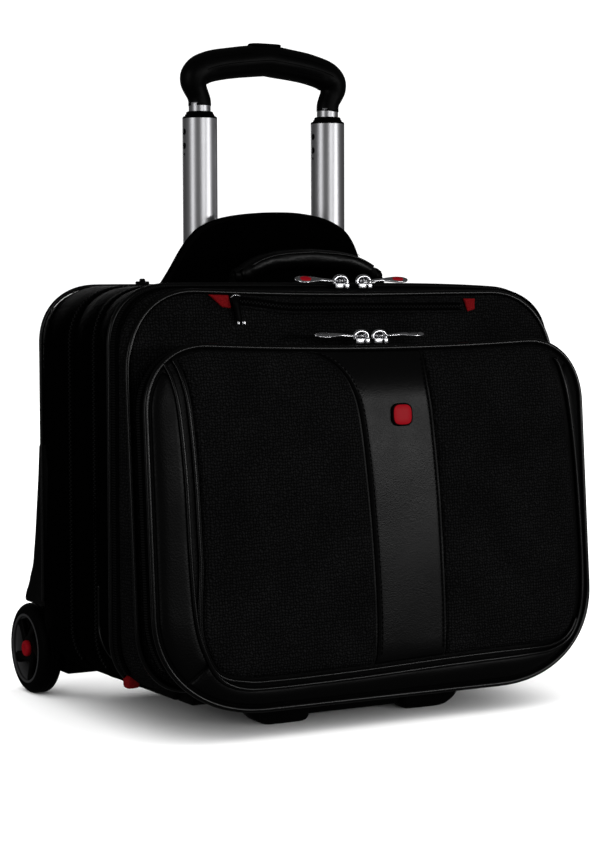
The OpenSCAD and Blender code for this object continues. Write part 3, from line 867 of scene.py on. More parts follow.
# ---------- front pocket ----------

POCKET_EDGE = outline("pocket", fine=True)


def face_rise(x, w):
    """How far the pocket's face stands forward of its piping."""
    d = distance(np.stack([x.ravel(), w.ravel()], 1), POCKET_EDGE).reshape(x.shape)
    return DOME * (1 - (1 - np.clip(d / DOME_REACH, 0, 1)) ** 2.2)


def on_face(curve, lift):
    """A curve laid over the pocket's face, at a height above it."""
    return tilted(curve, -(face_rise(curve[:, 0], curve[:, 1]) + lift))


def inner_line():
    """The piping that edges the leather band: up the left, round the bottom and up the right."""
    return smooth([(-196, 308), (-192, 296), (-188, 270), (-184.5, 215), (-183, 143), (-180, 98),
                   (-172, 72), (-160, 54), (-140, 44.5), (-110, 42.5), (-33, 43.5), (56, 46.5),
                   (140, 48.5), (170, 51), (190, 61), (201, 82), (205, 120), (204, 170), (201, 220),
                   (196, 262), (189, 296), (185, 306)], 320)


def offset_inside(curve, amount):
    """A curve moved towards the middle of the pocket's face. amount may be one per point."""
    t = tangents(curve)
    return curve + np.stack([-t[:, 1], t[:, 0]], 1) * np.asarray(amount)[:, None]


def second_line(curve):
    """The second piping: it leaves the first on the left and along the bottom, and joins it elsewhere."""
    along = np.linspace(0, 1, len(curve))
    left = 7.5 * (1 - step(0.18, 0.27, along))
    bottom = 5.5 * step(0.285, 0.33, along) * (1 - 0.45 * step(0.6, 0.75, along))
    return offset_inside(curve, left + bottom + 0.4)


def part_of(curve, start, end, count):
    """The stretch of a curve between two of its points, with count points."""
    return evenly(curve[start:end + 1], count)


def nearest(curve, x, w):
    """The number of the curve's point that is nearest to a place."""
    return int(np.argmin(np.linalg.norm(curve - [x, w], axis=1)))


def rim_of(grid):
    """The points round the edge of a grid."""
    return np.concatenate([grid[0], grid[1:, -1], grid[-1, ::-1][1:], grid[::-1, 0][1:-1]])


def panel(name, grid, material, lift, puff, edge, nodes=(), ripple=0.0):
    """A sewn panel on the pocket's face: puffed in the middle, pulled down at its edges."""
    thick = 2.0
    rows, columns = grid.shape[:2]
    flat = grid.reshape(-1, 2)
    share = distance(flat, rim_of(grid)) / edge
    rise = face_rise(flat[:, 0], flat[:, 1]) + lift + puff * rounded(share)
    if ripple:
        wave = [noise.noise(Vector((p[0] / 55, p[1] / 55, 1.7))) for p in flat]
        rise = rise + ripple * np.array(wave) * np.clip(share, 0, 1)
    front = tilted(flat, -rise).reshape(rows, columns, 3)
    back = tilted(flat, -rise + thick + puff * rounded(share)).reshape(rows, columns, 3)
    build(name, slab_of(front, back), material, "pocket", nodes)


def make_pocket_body():
    """The pocket's padded body under its sewn panels, with its lining."""
    outer = []
    for v in (POCKET_DEPTH, 9.0, 6.0, 3.0):
        outer.append(tilted(outline("pocket", 0.8 * sin(pi * v / POCKET_DEPTH)), v))
    for g in (0, 4, 9, 16, 25, 36, 48, 70, 100, 138):
        loop = outline("pocket", -g)
        rise = face_rise(loop[:, 0], loop[:, 1]) - 1.2 * min(g / 4, 1)
        outer.append(tilted(loop, -rise))
    inner = []
    for g, v in ((138, -5), (60, -5), (30, -3), (10, 1), (0, 4.0), (0, POCKET_DEPTH)):
        inner.append(tilted(outline("pocket", -3.5 - g), v))
    build("pocket_body", skin(outer, last_cap=True), HIDE, "pocket", ["pocket_shell"])
    build("pocket_lining", skin(inner + [outer[0]], first_cap=True), LINING, "pocket")


def stripe_edges():
    """The stripe's left edge, which flares out at the top, and its right edge."""
    left = smooth([(-15, 44), (-12, 85), (-12, 131), (-14.5, 190), (-20, 255), (-27, 284), (-37, 301),
                   (-50, 311), (-66, 316)], 90)
    right = smooth([(53, 46.5), (55, 101), (54, 187), (50, 255), (46.5, 289), (46.5, 316)], 90)
    return left, right


def on_foot(foot, edge):
    """An edge of the stripe that starts from a point of the band under it."""
    return evenly(np.concatenate([[foot], edge[edge[:, 1] > 56]]), 90)


def make_face_panels():
    """The sewn panels of the pocket's face, with their cords and stitches."""
    line = inner_line()
    inside = offset_inside(second_line(line), np.full(len(line), 3.4))
    rim = fine_outline("pocket", -2.6, 600)
    low_left, low_right = nearest(inside, -166, 58), nearest(inside, 190, 66)
    stripe_left, stripe_right = stripe_edges()

    def top_between(x0, x1, count=60):
        """Along the pocket's top edge, from x0 to x1."""
        upper = rim[rim[:, 1] > 250]
        upper = upper[np.argsort(upper[:, 0])]
        keep = (upper[:, 0] >= x0) & (upper[:, 0] <= x1)
        return evenly(upper[keep], count)

    foot = nearest(inside, stripe_left[0, 0], 48)
    foot_right = nearest(inside, stripe_right[0, 0], 50)
    stripe_left = on_foot(inside[foot], stripe_left)
    stripe_right = on_foot(inside[foot_right], stripe_right)
    gap = np.array([1.2, 0])
    top_left = top_between(-187, stripe_left[-1, 0])
    left_edge = np.concatenate([part_of(inside, 0, low_left, 80)[::-1], top_left[:1]])
    weave = coons(part_of(inside, low_left, foot, 60) - gap, stripe_left - gap, top_left - gap, left_edge,
                  60, 96)
    panel("weave_left", weave, PANEL_CLOTH, -1.5, 3.8, 9.0, ["weave_panels"], ripple=0.8)
    top_right = top_between(stripe_right[-1, 0], 184)
    right_edge = np.concatenate([part_of(inside, low_right, len(inside) - 1, 80), top_right[-1:]])
    weave = coons(part_of(inside, foot_right, low_right, 60) + gap, right_edge, top_right + gap,
                  stripe_right + gap, 50, 96)
    panel("weave_right", weave, PANEL_CLOTH, -1.5, 3.8, 9.0, ripple=0.8)
    stripe_grid = coons(part_of(inside, foot, foot_right, 30), stripe_right,
                        top_between(stripe_left[-1, 0], stripe_right[-1, 0]), stripe_left, 34, 96)
    panel("stripe_panel", stripe_grid, STRIPE, -1.0, 2.6, 4.0, ["centre_stripe"], ripple=0.4)
    make_leather_band(line, rim)
    make_face_piping(line)
    make_face_stitches(stripe_left, stripe_right)


def make_leather_band(line, rim):
    """The crescent on the left and the band under the panels, mitred at the lower left corner."""
    mitre = nearest(line, -170, 66)
    outer_mitre = nearest(rim, -183, 52)
    loop = np.roll(rim, -outer_mitre, 0)
    tip = nearest(loop, -197, 300)
    tip = tip if tip > len(loop) // 2 else len(loop) - 1
    side_outer = evenly(loop[tip:][::-1], 90)
    side_outer = side_outer if side_outer[0, 1] < side_outer[-1, 1] else side_outer[::-1]
    side_inner = evenly(line[4:mitre + 1][::-1], 90)
    low = np.stack([side_outer[0], side_inner[0]])
    high = np.stack([side_outer[-1], side_inner[-1]])
    crescent = coons(low, side_inner, high, side_outer, 18, 90)
    panel("leather_crescent", crescent, HIDE, -1.2, 3.0, 9.0, ripple=0.5)
    end = nearest(loop, 197, 300)
    below_outer = evenly(loop[:end + 1], 150)
    below_inner = evenly(line[mitre:-4], 150)
    start_edge = np.stack([below_outer[0], below_inner[0]])
    end_edge = np.stack([below_outer[-1], below_inner[-1]])
    band = coons(below_outer, end_edge, below_inner, start_edge, 150, 14)
    panel("leather_band", band, HIDE, -1.2, 2.6, 8.0, ripple=0.5)


def make_face_piping(line):
    """The two cords between the leather band and the panels."""
    second = second_line(line)
    shown = second[: nearest(second, 196, 80)]
    parts = [tube(on_face(line, 0.9), 1.7, 10), tube(on_face(shown, 1.0), 1.5, 10)]
    build("face_cords", merged(parts), PIPING, "pocket", ["inner_piping"])


def make_face_stitches(stripe_left, stripe_right):
    """The row of stitches along each edge of the stripe."""
    front = np.array([0, -1.0, 0.07])
    rows = []
    for edge, side in ((stripe_left, 3.2), (stripe_right, -3.2)):
        path = on_face(edge + [side, 0], 1.9)
        rows.append(stitches(path[3:-3], front, 4.2, 2.8, 0.35))
    build("stripe_stitches", merged(rows), THREAD, "pocket")


def make_pocket_trim():
    """The cord round the pocket's face and its zip, half on the pocket and half on the lid."""
    loop = fine_outline("pocket", -0.6, 480)
    piping_at("pocket_cord", tilted(loop, 0.0), face_out(loop), 2.4, "pocket", ["pocket_piping"],
              closed=True, tail=(0, 4.2, 0))
    loop = fine_outline("pocket", 0.4, 480)
    keep = loop[:, 1] > 62
    out = face_out(loop)[keep]
    for name, v, side, body, nodes in (
        ("pocket_zip_front", POCKET_ZIP_V - 0.4, -LEAN_BACK, "pocket", ["pocket_zip"]),
        ("pocket_zip_back", POCKET_ZIP_V + 0.4, LEAN_BACK, "lid", ()),
    ):
        half_zip(name, tilted(loop[keep], v), out, side, body, nodes, tape=5.5)


def make_badge():
    """A plain domed badge: a rounded red square in a thin dark rim."""
    middle_x, middle_w = 18.2, 260.7

    def ring(share, lift):
        x, w = squircle(10.2 * share, 9.9 * share, 0.62, 0.62, 48)
        return leaned(middle_x + x, -(DOME + lift), middle_w + w)

    rim = [ring(share, lift) for share, lift in ((0.98, 0.0), (0.98, 3.0), (0.95, 3.8), (0.89, 3.8),
                                                 (0.85, 3.2), (0.85, 0.0))]
    build("badge_rim", skin(rim, looped=True), RUBBER, "pocket")
    dome = [ring(share, 3.3 + 1.3 * (1 - share**4)) for share in (0.85, 0.82, 0.78, 0.7, 0.55, 0.35, 0.12)]
    build("badge_field", capped([ring(0.85, 0.5)] + dome), RED_GLOSS, "pocket", ["badge"])


# ---------- hump and carry handle ----------

def inflated(piece, pressure, cap):
    """Swells a closed mesh like stuffing under cloth, by at most cap metres."""
    voxel, frames = 0.0032, 20
    remesh = piece.modifiers.new("remesh", "REMESH")
    remesh.mode = "VOXEL"
    remesh.voxel_size = voxel
    apply_modifiers(piece)
    start = np.array([v.co for v in piece.data.vertices])
    swell = piece.modifiers.new("cloth", "CLOTH")
    swell.settings.use_pressure = True
    swell.settings.uniform_pressure_force = pressure
    swell.settings.effector_weights.gravity = 0.0
    swell.settings.quality = 5
    scene = bpy.context.scene
    scene.frame_start, scene.frame_end = 1, frames
    for number in range(1, frames + 1):
        scene.frame_set(number)
    graph = bpy.context.evaluated_depsgraph_get()
    puffed = np.array([v.co for v in piece.evaluated_get(graph).data.vertices])
    piece.modifiers.remove(swell)
    scene.frame_set(1)
    move = puffed - start
    length = np.linalg.norm(move, axis=1, keepdims=True)
    move *= np.minimum(1, cap / np.maximum(length, 1e-9))
    piece.data.vertices.foreach_set("co", (start + move).ravel())
    divide = piece.modifiers.new("divide", "SUBSURF")
    divide.levels = divide.render_levels = 1
    apply_modifiers(piece)
    for polygon in piece.data.polygons:
        polygon.use_smooth = True


def apply_modifiers(piece):
    """Puts what a piece's modifiers make in place of its mesh."""
    graph = bpy.context.evaluated_depsgraph_get()
    mesh = bpy.data.meshes.new_from_object(piece.evaluated_get(graph))
    piece.modifiers.clear()
    old = piece.data
    piece.data = mesh
    bpy.data.meshes.remove(old)


HUMP_EDGE = [(-108, 369), (-102, 383), (-94.5, 401), (-87, 414), (-78, 423), (-60, 430.5), (-32, 434.8),
             (0, 436), (20, 434.8), (40, 431.2), (55, 425.5), (66.5, 418), (76, 406.5), (83.5, 392.5),
             (88.5, 381), (92, 369)]
HUMP_BEND, HUMP_BEND_AT = 40.0, 110.0


def hump_loop(inset, count=72):
    """The hump's arched edge and its straight foot, moved inwards, and the middle it narrows to."""
    arch = smooth(HUMP_EDGE, count)
    middle = np.array([-6, 372.0])
    t = tangents(arch)
    inward = np.stack([t[:, 1], -t[:, 0]], 1)
    moved = arch + inward * inset
    moved[:, 1] = np.maximum(moved[:, 1], 370.0)
    foot = np.linspace(moved[-1], moved[0], 26)[1:-1]
    return np.concatenate([moved, foot]), middle


def wrapped(points):
    """Points of the hump, whose ends curve back past the tubes."""
    moved = np.array(points, float)
    moved[:, 1] += HUMP_BEND * (np.abs(moved[:, 0]) / HUMP_BEND_AT) ** 5
    return moved


def make_hump():
    """The padded hump that stands in front of the trolley tubes."""
    front, back = 158.0, 171.0
    rings = []
    for inset, y in ((70, front), (30, front), (9, front), (2, front + 1), (0.5, front + 3),
                     (0.5, back - 3), (2, back - 1), (9, back), (30, back), (70, back)):
        loop, middle = hump_loop(min(inset, 9))
        share = {70: 0.25, 30: 0.7}.get(inset, 1.0)
        rings.append(wrapped(upright(middle + (loop - middle) * share, y)))
    pad = build("hump_pad", capped(rings), SHELL_CLOTH, None)
    inflated(pad, 3.0, 0.003)
    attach(pad, "case")
    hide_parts("handle_shroud")
    edge, _ = hump_loop(2.5)
    cords = [tube(wrapped(upright(edge[:72], y)), 2.4, 10) for y in (front + 2.4, back - 2.4)]
    build("hump_binding", merged(cords), TAPE, "case", ["shroud_binding"])
    row = wrapped(upright(hump_loop(11.0)[0][:72], front - 1.6))
    build("hump_stitches", stitches(row[row[:, 2] > 371], np.array([0, -1.0, 0])), THREAD, "case")


CARRY_Y = 120.0
CARRY_PIN_Z = 379.0


def carry_path():
    """The middle line of the carry handle, from its left pin to its right."""
    half = smooth([(0, 394.8), (28, 392.9), (45, 389.6), (56, 385.0), (63, 380.6), (67.5, 377.0)], 40)
    both = evenly(np.concatenate([half[::-1] * [-1, 1], half[1:]]), 70)
    return upright(both, CARRY_Y)


def make_carry_handle():
    """The padded leather carry handle between its two pins."""
    path = carry_path()
    out = np.array([0, 0, 1.0])
    across, rise = squircle(1, 1, 0.75, 1, 28)
    t = tangents(path)
    rings = []
    for k, (p, d) in enumerate(zip(path, t)):
        taper = 0.66 + 0.34 * rounded(min(k, len(path) - 1 - k) / 16)
        up = unit(out - d * (out @ d))
        side = np.cross(d, up)
        rings.append(p + np.outer(across, side) * 12.5 * taper
                     + np.outer(rise, up) * 7.4 * (0.1 + 0.9 * taper))
    pad = build("carry_pad", capped(rings), HANDLE_HIDE, None)
    inflated(pad, 4.0, 0.0015)
    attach(pad, "carry")
    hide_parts("carry_handle")
    normal = unit(np.cross(t, np.array([0, 1.0, 0])))
    normal *= np.sign(normal[:, 2:])
    seams, rows = [], []
    for s in (-1, 1):
        seams.append(tube(path[5:-5] + normal[5:-5] * 4.6 + [0, s * 11.6, 0], 0.8, 8))
        rows.append(stitches(path[12:-12] + normal[12:-12] * 7.9 + [0, s * 7.4, 0], out, 4.0, 2.6, 0.35))
    build("carry_seams", merged(seams), PIPING, "carry")
    build("carry_stitches", merged(rows), THREAD, "carry")
    ends = []
    for s in (-1, 1):
        ends.append(turned([(2.7, 64), (4.4, 64), (5.0, 64.6), (5.0, 72.8), (4.4, 73.4), (2.7, 73.4)],
                           (CARRY_Y, CARRY_PIN_Z), s, 32))
        tab = smooth([(s * 58, CARRY_Y, 386.4), (s * 64, CARRY_Y, 385.2), (s * 69, CARRY_Y, 384.0),
                      (s * 73, CARRY_Y, 381.6)], 20)
        ends.append(ribbon(tab, out, 13, 1.4, crown=0.6))
    build("carry_end_tabs", merged(ends), HIDE, "carry")
    anchors = []
    for s in (-1, 1):
        anchors.append(turned([(0.1, 63), (2.5, 63), (2.5, 76), (0.1, 76)], (CARRY_Y, CARRY_PIN_Z), s, 24))
        anchors.append(turned([(0.1, 74.4), (2.9, 74.4), (3.1, 75), (2.6, 76.4), (0.1, 76.4)],
                              (CARRY_Y, CARRY_PIN_Z), s, 24))
        ear = smooth([(CARRY_Y - 10, 369), (CARRY_Y - 6, 373), (CARRY_Y - 2.6, 378.5), (CARRY_Y, 381.4),
                      (CARRY_Y + 2.6, 378.5), (CARRY_Y + 6, 373), (CARRY_Y + 10, 369)], 36)
        anchors.append(capped([points_of(s * x, ear[:, 0], ear[:, 1]) for x in (74.2, 74.6, 75.6, 76.0)]))
        x0, x1 = sorted((s * 60, s * 80))
        anchors.append(box_part((x0, CARRY_Y - 12, 368.5), (x1, CARRY_Y + 12, 371.0), 1.1))
    build("carry_mounts", merged(anchors), PLASTIC, "case", ["carry_anchors"])


# ---------- trolley handle ----------

def make_grip():
    """The soft grip: one bar that swells at its corners and narrows onto the tubes."""
    stations = [(66.3, 531.0, 10.2), (66.6, 536, 10.1), (68.2, 541.0, 10.1), (70.8, 546.5, 10.9),
                (72.0, 552, 12.3), (70.2, 558.6, 13.6), (62.5, 564.4, 14.0), (47, 568.8, 14.0),
                (28, 571.8, 14.2), (0, 575, 14.6)]
    right = smooth([(x, TUBE_Y, z, r) for x, z, r in stations], 60)
    full = np.concatenate([right, right[:-1][::-1] * [-1, 1, 1, 1]])
    points, faces = tube(full[:, :3], full[:, 3], 36)
    high = points[:, 2] > 560
    groove = np.exp(-((points[:, 1] - TUBE_Y + 12.6) / 0.9) ** 2) * (np.abs(points[:, 0]) < 62) * high
    points = points + points_of(0, 0.9 * groove, 0)
    build("grip_cover", (rippled(points, 22.0, 0.5, 11.0), faces), GRIP, "stage_2",
          ["grip_front", "grip_back"])
    creases = []
    line = evenly(full[(np.abs(full[:, 0]) < 66) & (full[:, 2] > 555)], 90)
    for angle, start, end in ((-0.08, 0, 90), (0.42, 6, 40), (0.5, 58, 84), (-0.5, 8, 30)):
        radius = line[start:end, 3] + 0.02
        path = line[start:end, :3] + points_of(0, -radius * cos(angle), radius * sin(angle))
        creases.append(tube(path, 0.35, 6))
    build("grip_seams", merged(creases), RUBBER, "stage_2")


def button_rings(steps):
    """Rounded oblongs over the middle of the grip, from half their width, half their depth and Z."""
    rings = []
    for half_x, half_y, z in steps:
        x, y = squircle(half_x, half_y, 0.55, 0.7, 48)
        rings.append(points_of(x, TUBE_Y + y, z))
    return rings


def make_button():
    """The release button on top of the grip, with a soft crown, and the rim round it."""
    low, high = GRIP_Z + 6, GRIP_Z + 17
    rings = button_rings([(13.6, 5.6, low), (13.6, 5.6, high - 2.4), (13.0, 5.1, high - 1.0),
                          (11.0, 3.8, high - 0.3), (6.0, 2.0, high)])
    stem = box_part((-4, TUBE_Y - 4, 571), (4, TUBE_Y + 4, low + 1), 0.5)
    build("button_cap", merged([capped(rings), stem]), PLASTIC, "button",
          ["release_button"])
    rim = button_rings([(15.4, 7.4, 586.5), (15.8, 7.8, 588.6), (15.2, 7.2, 589.4), (14.3, 6.3, 589.2),
                        (14.2, 6.2, 586.5)])
    build("button_collar", skin(rim, looped=True), PLASTIC, "stage_2")


def make_collars():
    """Stepped black collars in the mouths of the wide tubes."""
    profile = [(10.0, 500), (14.1, 500), (14.1, 519.4), (15.6, 519.4), (15.7, 520.2), (14.9, 521.4),
               (13.4, 521.9), (13.1, 523.2), (12.4, 523.7), (12.1, 525.2), (11.4, 525.8), (10.0, 525.9)]
    build("collar_rings", round_both_tubes(profile), PLASTIC, "stage_1", ["tube_collars"])


def make_narrow_tubes():
    """The polished inner tubes, which end inside the grip's necks."""
    profile = [(8.4, 192), (9.6, 192), (9.9, 192.4), (9.9, 194), (9.9, 532), (9.9, 533.6), (9.6, 534),
               (8.4, 534)]
    build("inner_tubes", round_both_tubes(profile), ALUMINIUM, "stage_2",
          ["narrow_tube_left", "narrow_tube_right"])


def make_tube_guides():
    """The rings round the wide tubes where they come out of the tub."""
    profile = [(15.8, 368), (23.5, 368), (23.5, 372), (22.0, 375), (18.5, 377), (16.4, 377), (15.8, 376)]
    build("guide_rings", round_both_tubes(profile), PLASTIC, "case", ["tube_guides"])


def make_tube_holes():
    """Dark rubber discs sunk just inside the latch holes of the wide tubes, seen on their left sides:
    painted shade in the holes.
    """
    parts = []
    for side in (-1, 1):
        for drop, radius in ((12, 3.0), (24.5, 3.0), (32, 1.3)):
            z = 519.5 - drop
            x = side * TUBE_X - 14.4
            profile = [(0.05, 1.0), (radius * 0.98, 1.0), (radius * 0.98, 0), (0.05, 0)]
            rings = []
            for a in turns(24):
                rings.append(np.array([(x + d, TUBE_Y + r * cos(a), z + r * sin(a)) for r, d in profile]))
            parts.append(skin(rings, looped=True))
    # These dark discs paint the shade inside the latch holes.
    build("latch_hole_plugs", merged(parts), RUBBER, "stage_1")


# ---------- wheels, base and bumper ----------

def make_wheel(side):
    """A wheel on its axle: tyre, rim, spokes and a plain red cap. side is -1 for the left one."""
    label = "left" if side < 0 else "right"
    body = "wheel_" + label
    centre = (WHEEL_Y, WHEEL_Z)
    low, high = 185.5, 207.5
    arc = np.linspace(0, pi / 2, 9)
    tyre = [(31.6, low + 1.5), (33, low)]
    tyre += [(33 + 8 * sin(a), low + 7 * (1 - cos(a))) for a in arc[1:]]
    for x in (low + 9, low + 13):
        tyre += [(41, x - 0.5), (40.5, x - 0.2), (40.5, x + 0.2), (41, x + 0.5)]
    tyre += [(31.8 + 9.2 * cos(a), high - 7.5 + 7.2 * sin(a)) for a in arc]
    tyre += [(31.5, high - 1.6)]
    build("tyre_tread_" + label, turned(tyre, centre, side, 96), RUBBER, body, ["tyre_" + label])
    barrel = [(29.4, high - 1.6), (29.4, low + 3), (31.5, low + 2), (31.5, high - 1.6)]
    ring = [(29.2, high - 2.4), (31.6, high - 2.4), (31.7, high - 0.8), (31.0, high - 0.2),
            (29.8, high - 0.2), (29.2, high - 0.9)]
    rims = merged([turned(barrel, centre, side), turned(ring, centre, side, 96)])
    build("wheel_rim_" + label, rims, WHEEL_GREY, body)
    hub = [(4.15, low), (12, low), (12.5, low + 9), (12.5, high - 5), (11, high - 3.4), (4.15, high - 3.4)]
    back = [(12, low + 4), (29.6, low + 4), (29.6, low + 5.6), (12, low + 6)]
    spokes = [spoke(k * 2 * pi / 5 + 0.35, centre, side, high) for k in range(5)]
    spoked = merged([turned(hub, centre, side), turned(back, centre, side)] + spokes)
    build("wheel_spokes_" + label, spoked, PLASTIC, body, ["rim_" + label])
    cap = [(0.05, high - 5), (7.2, high - 5), (7.3, high - 1.4), (6.7, high + 0.2), (5.4, high + 0.8),
           (4.0, high + 0.6), (3.0, high - 0.2), (2.0, high - 0.2), (0.05, high - 0.1)]
    build("hub_disc_" + label, turned(cap, centre, side, 48), RED_GLOSS, body,
          ["hub_cap_" + label])


def spoke(angle, centre, side, high):
    """One curved spoke from the hub to the rim, broader at its foot."""
    rings = []
    for share in np.linspace(0, 1, 9):
        r = 9.0 + 21.0 * share
        bend = angle + 0.5 * sin(pi * share * 0.6)
        half = 5.4 - 1.6 * sin(pi * share)
        x = high - 3.6 + 1.4 * share
        along = np.array([cos(bend), sin(bend)])
        across = np.array([-sin(bend), cos(bend)])
        ring = []
        for a, d in ((-1, -5.4), (-1, -1.4), (-0.6, 0), (0.6, 0), (1, -1.4), (1, -5.4)):
            p = np.array(centre) + along * r + across * a * half
            ring.append((side * (x + d), p[0], p[1]))
        rings.append(np.array(ring))
    return capped(rings)


RIB_PITCH = 24.0                    # from one rib of the bumper to the next


def bumper_back(x, z):
    """Y of the bumper's back face: it flares towards the wheels at its lower corners."""
    middle = np.interp(z, [86, 110, 150, 200, 231], [253, 250, 245, 240.5, 238.5])
    guard = np.interp(z, [86, 90, 96, 104, 122, 150, 200, 231],
                      [274, 273.5, 270, 262.5, 252, 247, 241, 238.5])
    return middle + (guard - middle) * step(118, 172, np.abs(x))


def bumper_front_edge(z):
    """Y of the bumper's front edge where it wraps onto the sides."""
    return np.interp(z, [57, 65, 77, 94, 129, 147, 210, 231], [186, 192, 201, 209.5, 211, 208, 201, 206])


def bumper_section(z, inset, count=34):
    """The bumper seen from above at a height: from its left edge round the back to its right edge."""
    half = float(np.interp(z, [57, 110, 231], [207, 213.5, 215.5])) - inset
    r = float(np.interp(z, [86, 104, 231], [8, 12, 24]))
    back = float(bumper_back(half - r, z)) - inset
    front = float(bumper_front_edge(z))
    arc = np.linspace(0, pi / 2, 10)
    side = [(-half, y) for y in np.linspace(front, back - r, 8)]
    corner = [(-half + r - r * cos(a), back - r + r * sin(a)) for a in arc[1:]]
    flat = [(x, float(bumper_back(x, z)) - inset) for x in np.linspace(-half + r, 0, count)[1:]]
    left = np.array(side + corner + flat)
    return np.concatenate([left, left[:-1][::-1] * [-1, 1]])


def make_bumper():
    """The moulded guard round the lower back corners, ribbed across the back."""
    heights = np.concatenate([[86.0, 86.8, 88.5], np.linspace(92, 226, 30), [229.0, 230.6, 231.2]])
    outer, inner = [], []
    for z in heights:
        lip = 1.6 * rounded((z - 86.0) / 3.0) * rounded((231.6 - z) / 3.0)
        for rings, inset in ((outer, 1.6 - lip), (inner, 3.6)):
            flat = bumper_section(z, inset)
            if rings is outer:
                rib = np.abs(flat[:, 0]) < 168
                wave = 0.5 + 0.5 * np.cos(flat[:, 0] * 2 * pi / RIB_PITCH)
                fade = step(104, 118, z) * (1 - step(206, 218, z))
                flat[:, 1] += rib * 1.6 * fade * step(0.35, 0.65, wave)
            rings.append(points_of(flat[:, 0], flat[:, 1], z))
    part = slab_of(np.stack(outer), np.stack(inner))
    skid = []
    for x in np.linspace(-150, 150, 61):
        rib = 1.4 * step(0.4, 0.6, 0.5 + 0.5 * cos(x * 2 * pi / RIB_PITCH))
        section = smooth([(231, 42), (236, 38.5), (243, 40), (248, 50), (250 + rib, 66), (251 + rib, 84),
                          (250, 90), (231, 90)], 40, True)
        skid.append(points_of(x, section[:, 0], section[:, 1]))
    build("bumper", merged([part, capped(skid)]), PLASTIC, "case", ["kick_plate"],
          sharp=50)
    screws = []
    screw_z = 214
    turn = turns(20)
    for x in (-188, -120, 120, 188):
        y = float(bumper_back(x, screw_z)) - (2.0 if abs(x) > 180 else 0.0)
        rings = []
        for r, d in ((5.5, -1.0), (5.5, 0.8), (4.6, 1.5), (1.8, 1.7), (1.6, 0.9), (0.2, 0.9)):
            rings.append(points_of(x + r * np.cos(turn), y + d, screw_z + r * np.sin(turn)))
        screws.append(capped(rings))
    build("bumper_screws", merged(screws), STEEL, "case")


def make_feet():
    """Front feet: rounded rubber blocks joined by a bar under the lid's edge."""
    profile = smooth([(45, 25), (45.5, 12), (48, 2.5), (56, 0.2), (84, 0.2), (95, 3.4), (104, 11),
                      (109, 25)], 44)
    middle = np.array([77, 18.0])
    feet = []
    for side in (-1, 1):
        rings = []
        for y, inset in ((34.5, 3.0), (36, 1.0), (38.5, 0), (51.5, 0), (54, 1.0), (55.5, 3.0)):
            loop = middle + (profile - middle) * (1 - inset / 24)
            loop[:, 1] = np.maximum(loop[:, 1], 0.2 + inset * 0.4)
            rings.append(upright(loop * [side, 1], y))
        feet.append(capped(rings))
    build("front_feet_rubber", merged(feet), RUBBER, "case", ["front_feet"], sharp=60)
    bar = box_part((-46, 40, 5), (46, 52, 23), 2.5)
    build("foot_rail", bar, PLASTIC, "case", ["foot_bar"])


def make_base():
    """The moulded base under the tub, with long runners."""
    parts = [box_part((-160, 66, 23), (160, 231, 36.5), 3.0)]
    for x in (-140, -84, -28, 28, 84, 140):
        parts.append(box_part((x - 5, 74, 20), (x + 5, 226, 25), 1.8))
    parts.append(box_part((-156, 41, 22.2), (156, 70, 32.5), 2.4))
    build("base_pan", merged(parts), PLASTIC, "case", ["base_plate"], sharp=50)


def make_red_tag():
    """The small red tag under each front corner of the lid."""
    parts = []
    for side in (-1, 1):
        parts.append(box_part((side * 198 - 6, 63.5, 37), (side * 198 + 6, 74, 48), 2.8))
    build("corner_tags", merged(parts), RED_CLOTH, "case")


# ---------- zip sliders and pullers ----------

def slider_part(x, y, z):
    """A cast slider: two plates with skirts in front, under a tall arch for the puller."""
    rings = []
    for half, deep, rise in ((6.2, 3.9, 0.0), (6.9, 4.4, 0.6), (6.9, 4.4, 1.6), (6.0, 3.6, 2.3)):
        across, back = squircle(half, deep, 0.6, 0.6, 32)
        rings.append(points_of(x + across, y + back, z + rise))
    body = capped(rings)
    path = smooth([(x - 6.1, y, z + 1.0), (x - 6.3, y, z + 4.0), (x - 4.4, y, z + 6.8), (x, y, z + 7.9),
                   (x + 4.4, y, z + 6.8), (x + 6.3, y, z + 4.0), (x + 6.1, y, z + 1.0)], 34)
    skirt = [box_part((x - 7.4, y - 5.4, z - 2.6), (x + 0.2, y - 3.8, z + 2.2), 0.6),
             box_part((x + 1.8, y - 5.4, z - 2.6), (x + 6.0, y - 3.8, z + 2.0), 0.6)]
    return merged([body, tube(path, 1.8, 12)] + skirt)


PULLER_LENGTH = 45.0
PULLER_EYE = 3.9                    # height of a puller's eye over its slider's foot


def leaf_point(x, y, z, way, roll, along, across, up):
    """A point of a puller's leaf, which rolls towards its front edge past the neck."""
    turn = radians(roll) * step(5, 15, along)
    lift = 1.1 * step(6, 24, along)
    return points_of(x + way * along, y + across * np.cos(turn) - up * np.sin(turn),
                     z + lift + across * np.sin(turn) + up * np.cos(turn))


def puller_part(x, y, z, way, roll):
    """A cast puller: an eye round the slider's arch, a slim neck and a leaf-shaped end."""
    length = PULLER_LENGTH
    stations = [(3.0, 3.2, 1.2), (6.0, 2.2, 1.3), (12.0, 1.8, 1.3), (length * 0.45, 2.0, 1.3),
                (length * 0.6, 3.4, 1.5), (length * 0.76, 4.6, 1.7), (length * 0.9, 4.1, 1.6),
                (length * 0.975, 2.2, 1.2), (length, 0.4, 0.6)]
    turn = turns(20)
    rings = []
    for along, half, thick in smooth(stations, 40):
        share = along / length
        dish = 0.5 * step(0.6, 0.68, share) * (1 - step(0.86, 0.93, share))
        up = np.sin(turn) * thick
        up = np.where(np.sin(turn) > 0.8, up - dish, up)
        rings.append(leaf_point(x, y, z, way, roll, along, half * np.cos(turn), up))
    leaf = capped(rings)
    eye = []
    for a in turns(28):
        eye.append((x + way * (0.6 + 3.6 * cos(a)), y + 3.1 * sin(a), z))
    return merged([leaf, tube(np.array(eye), 1.1, 10, closed=True)])


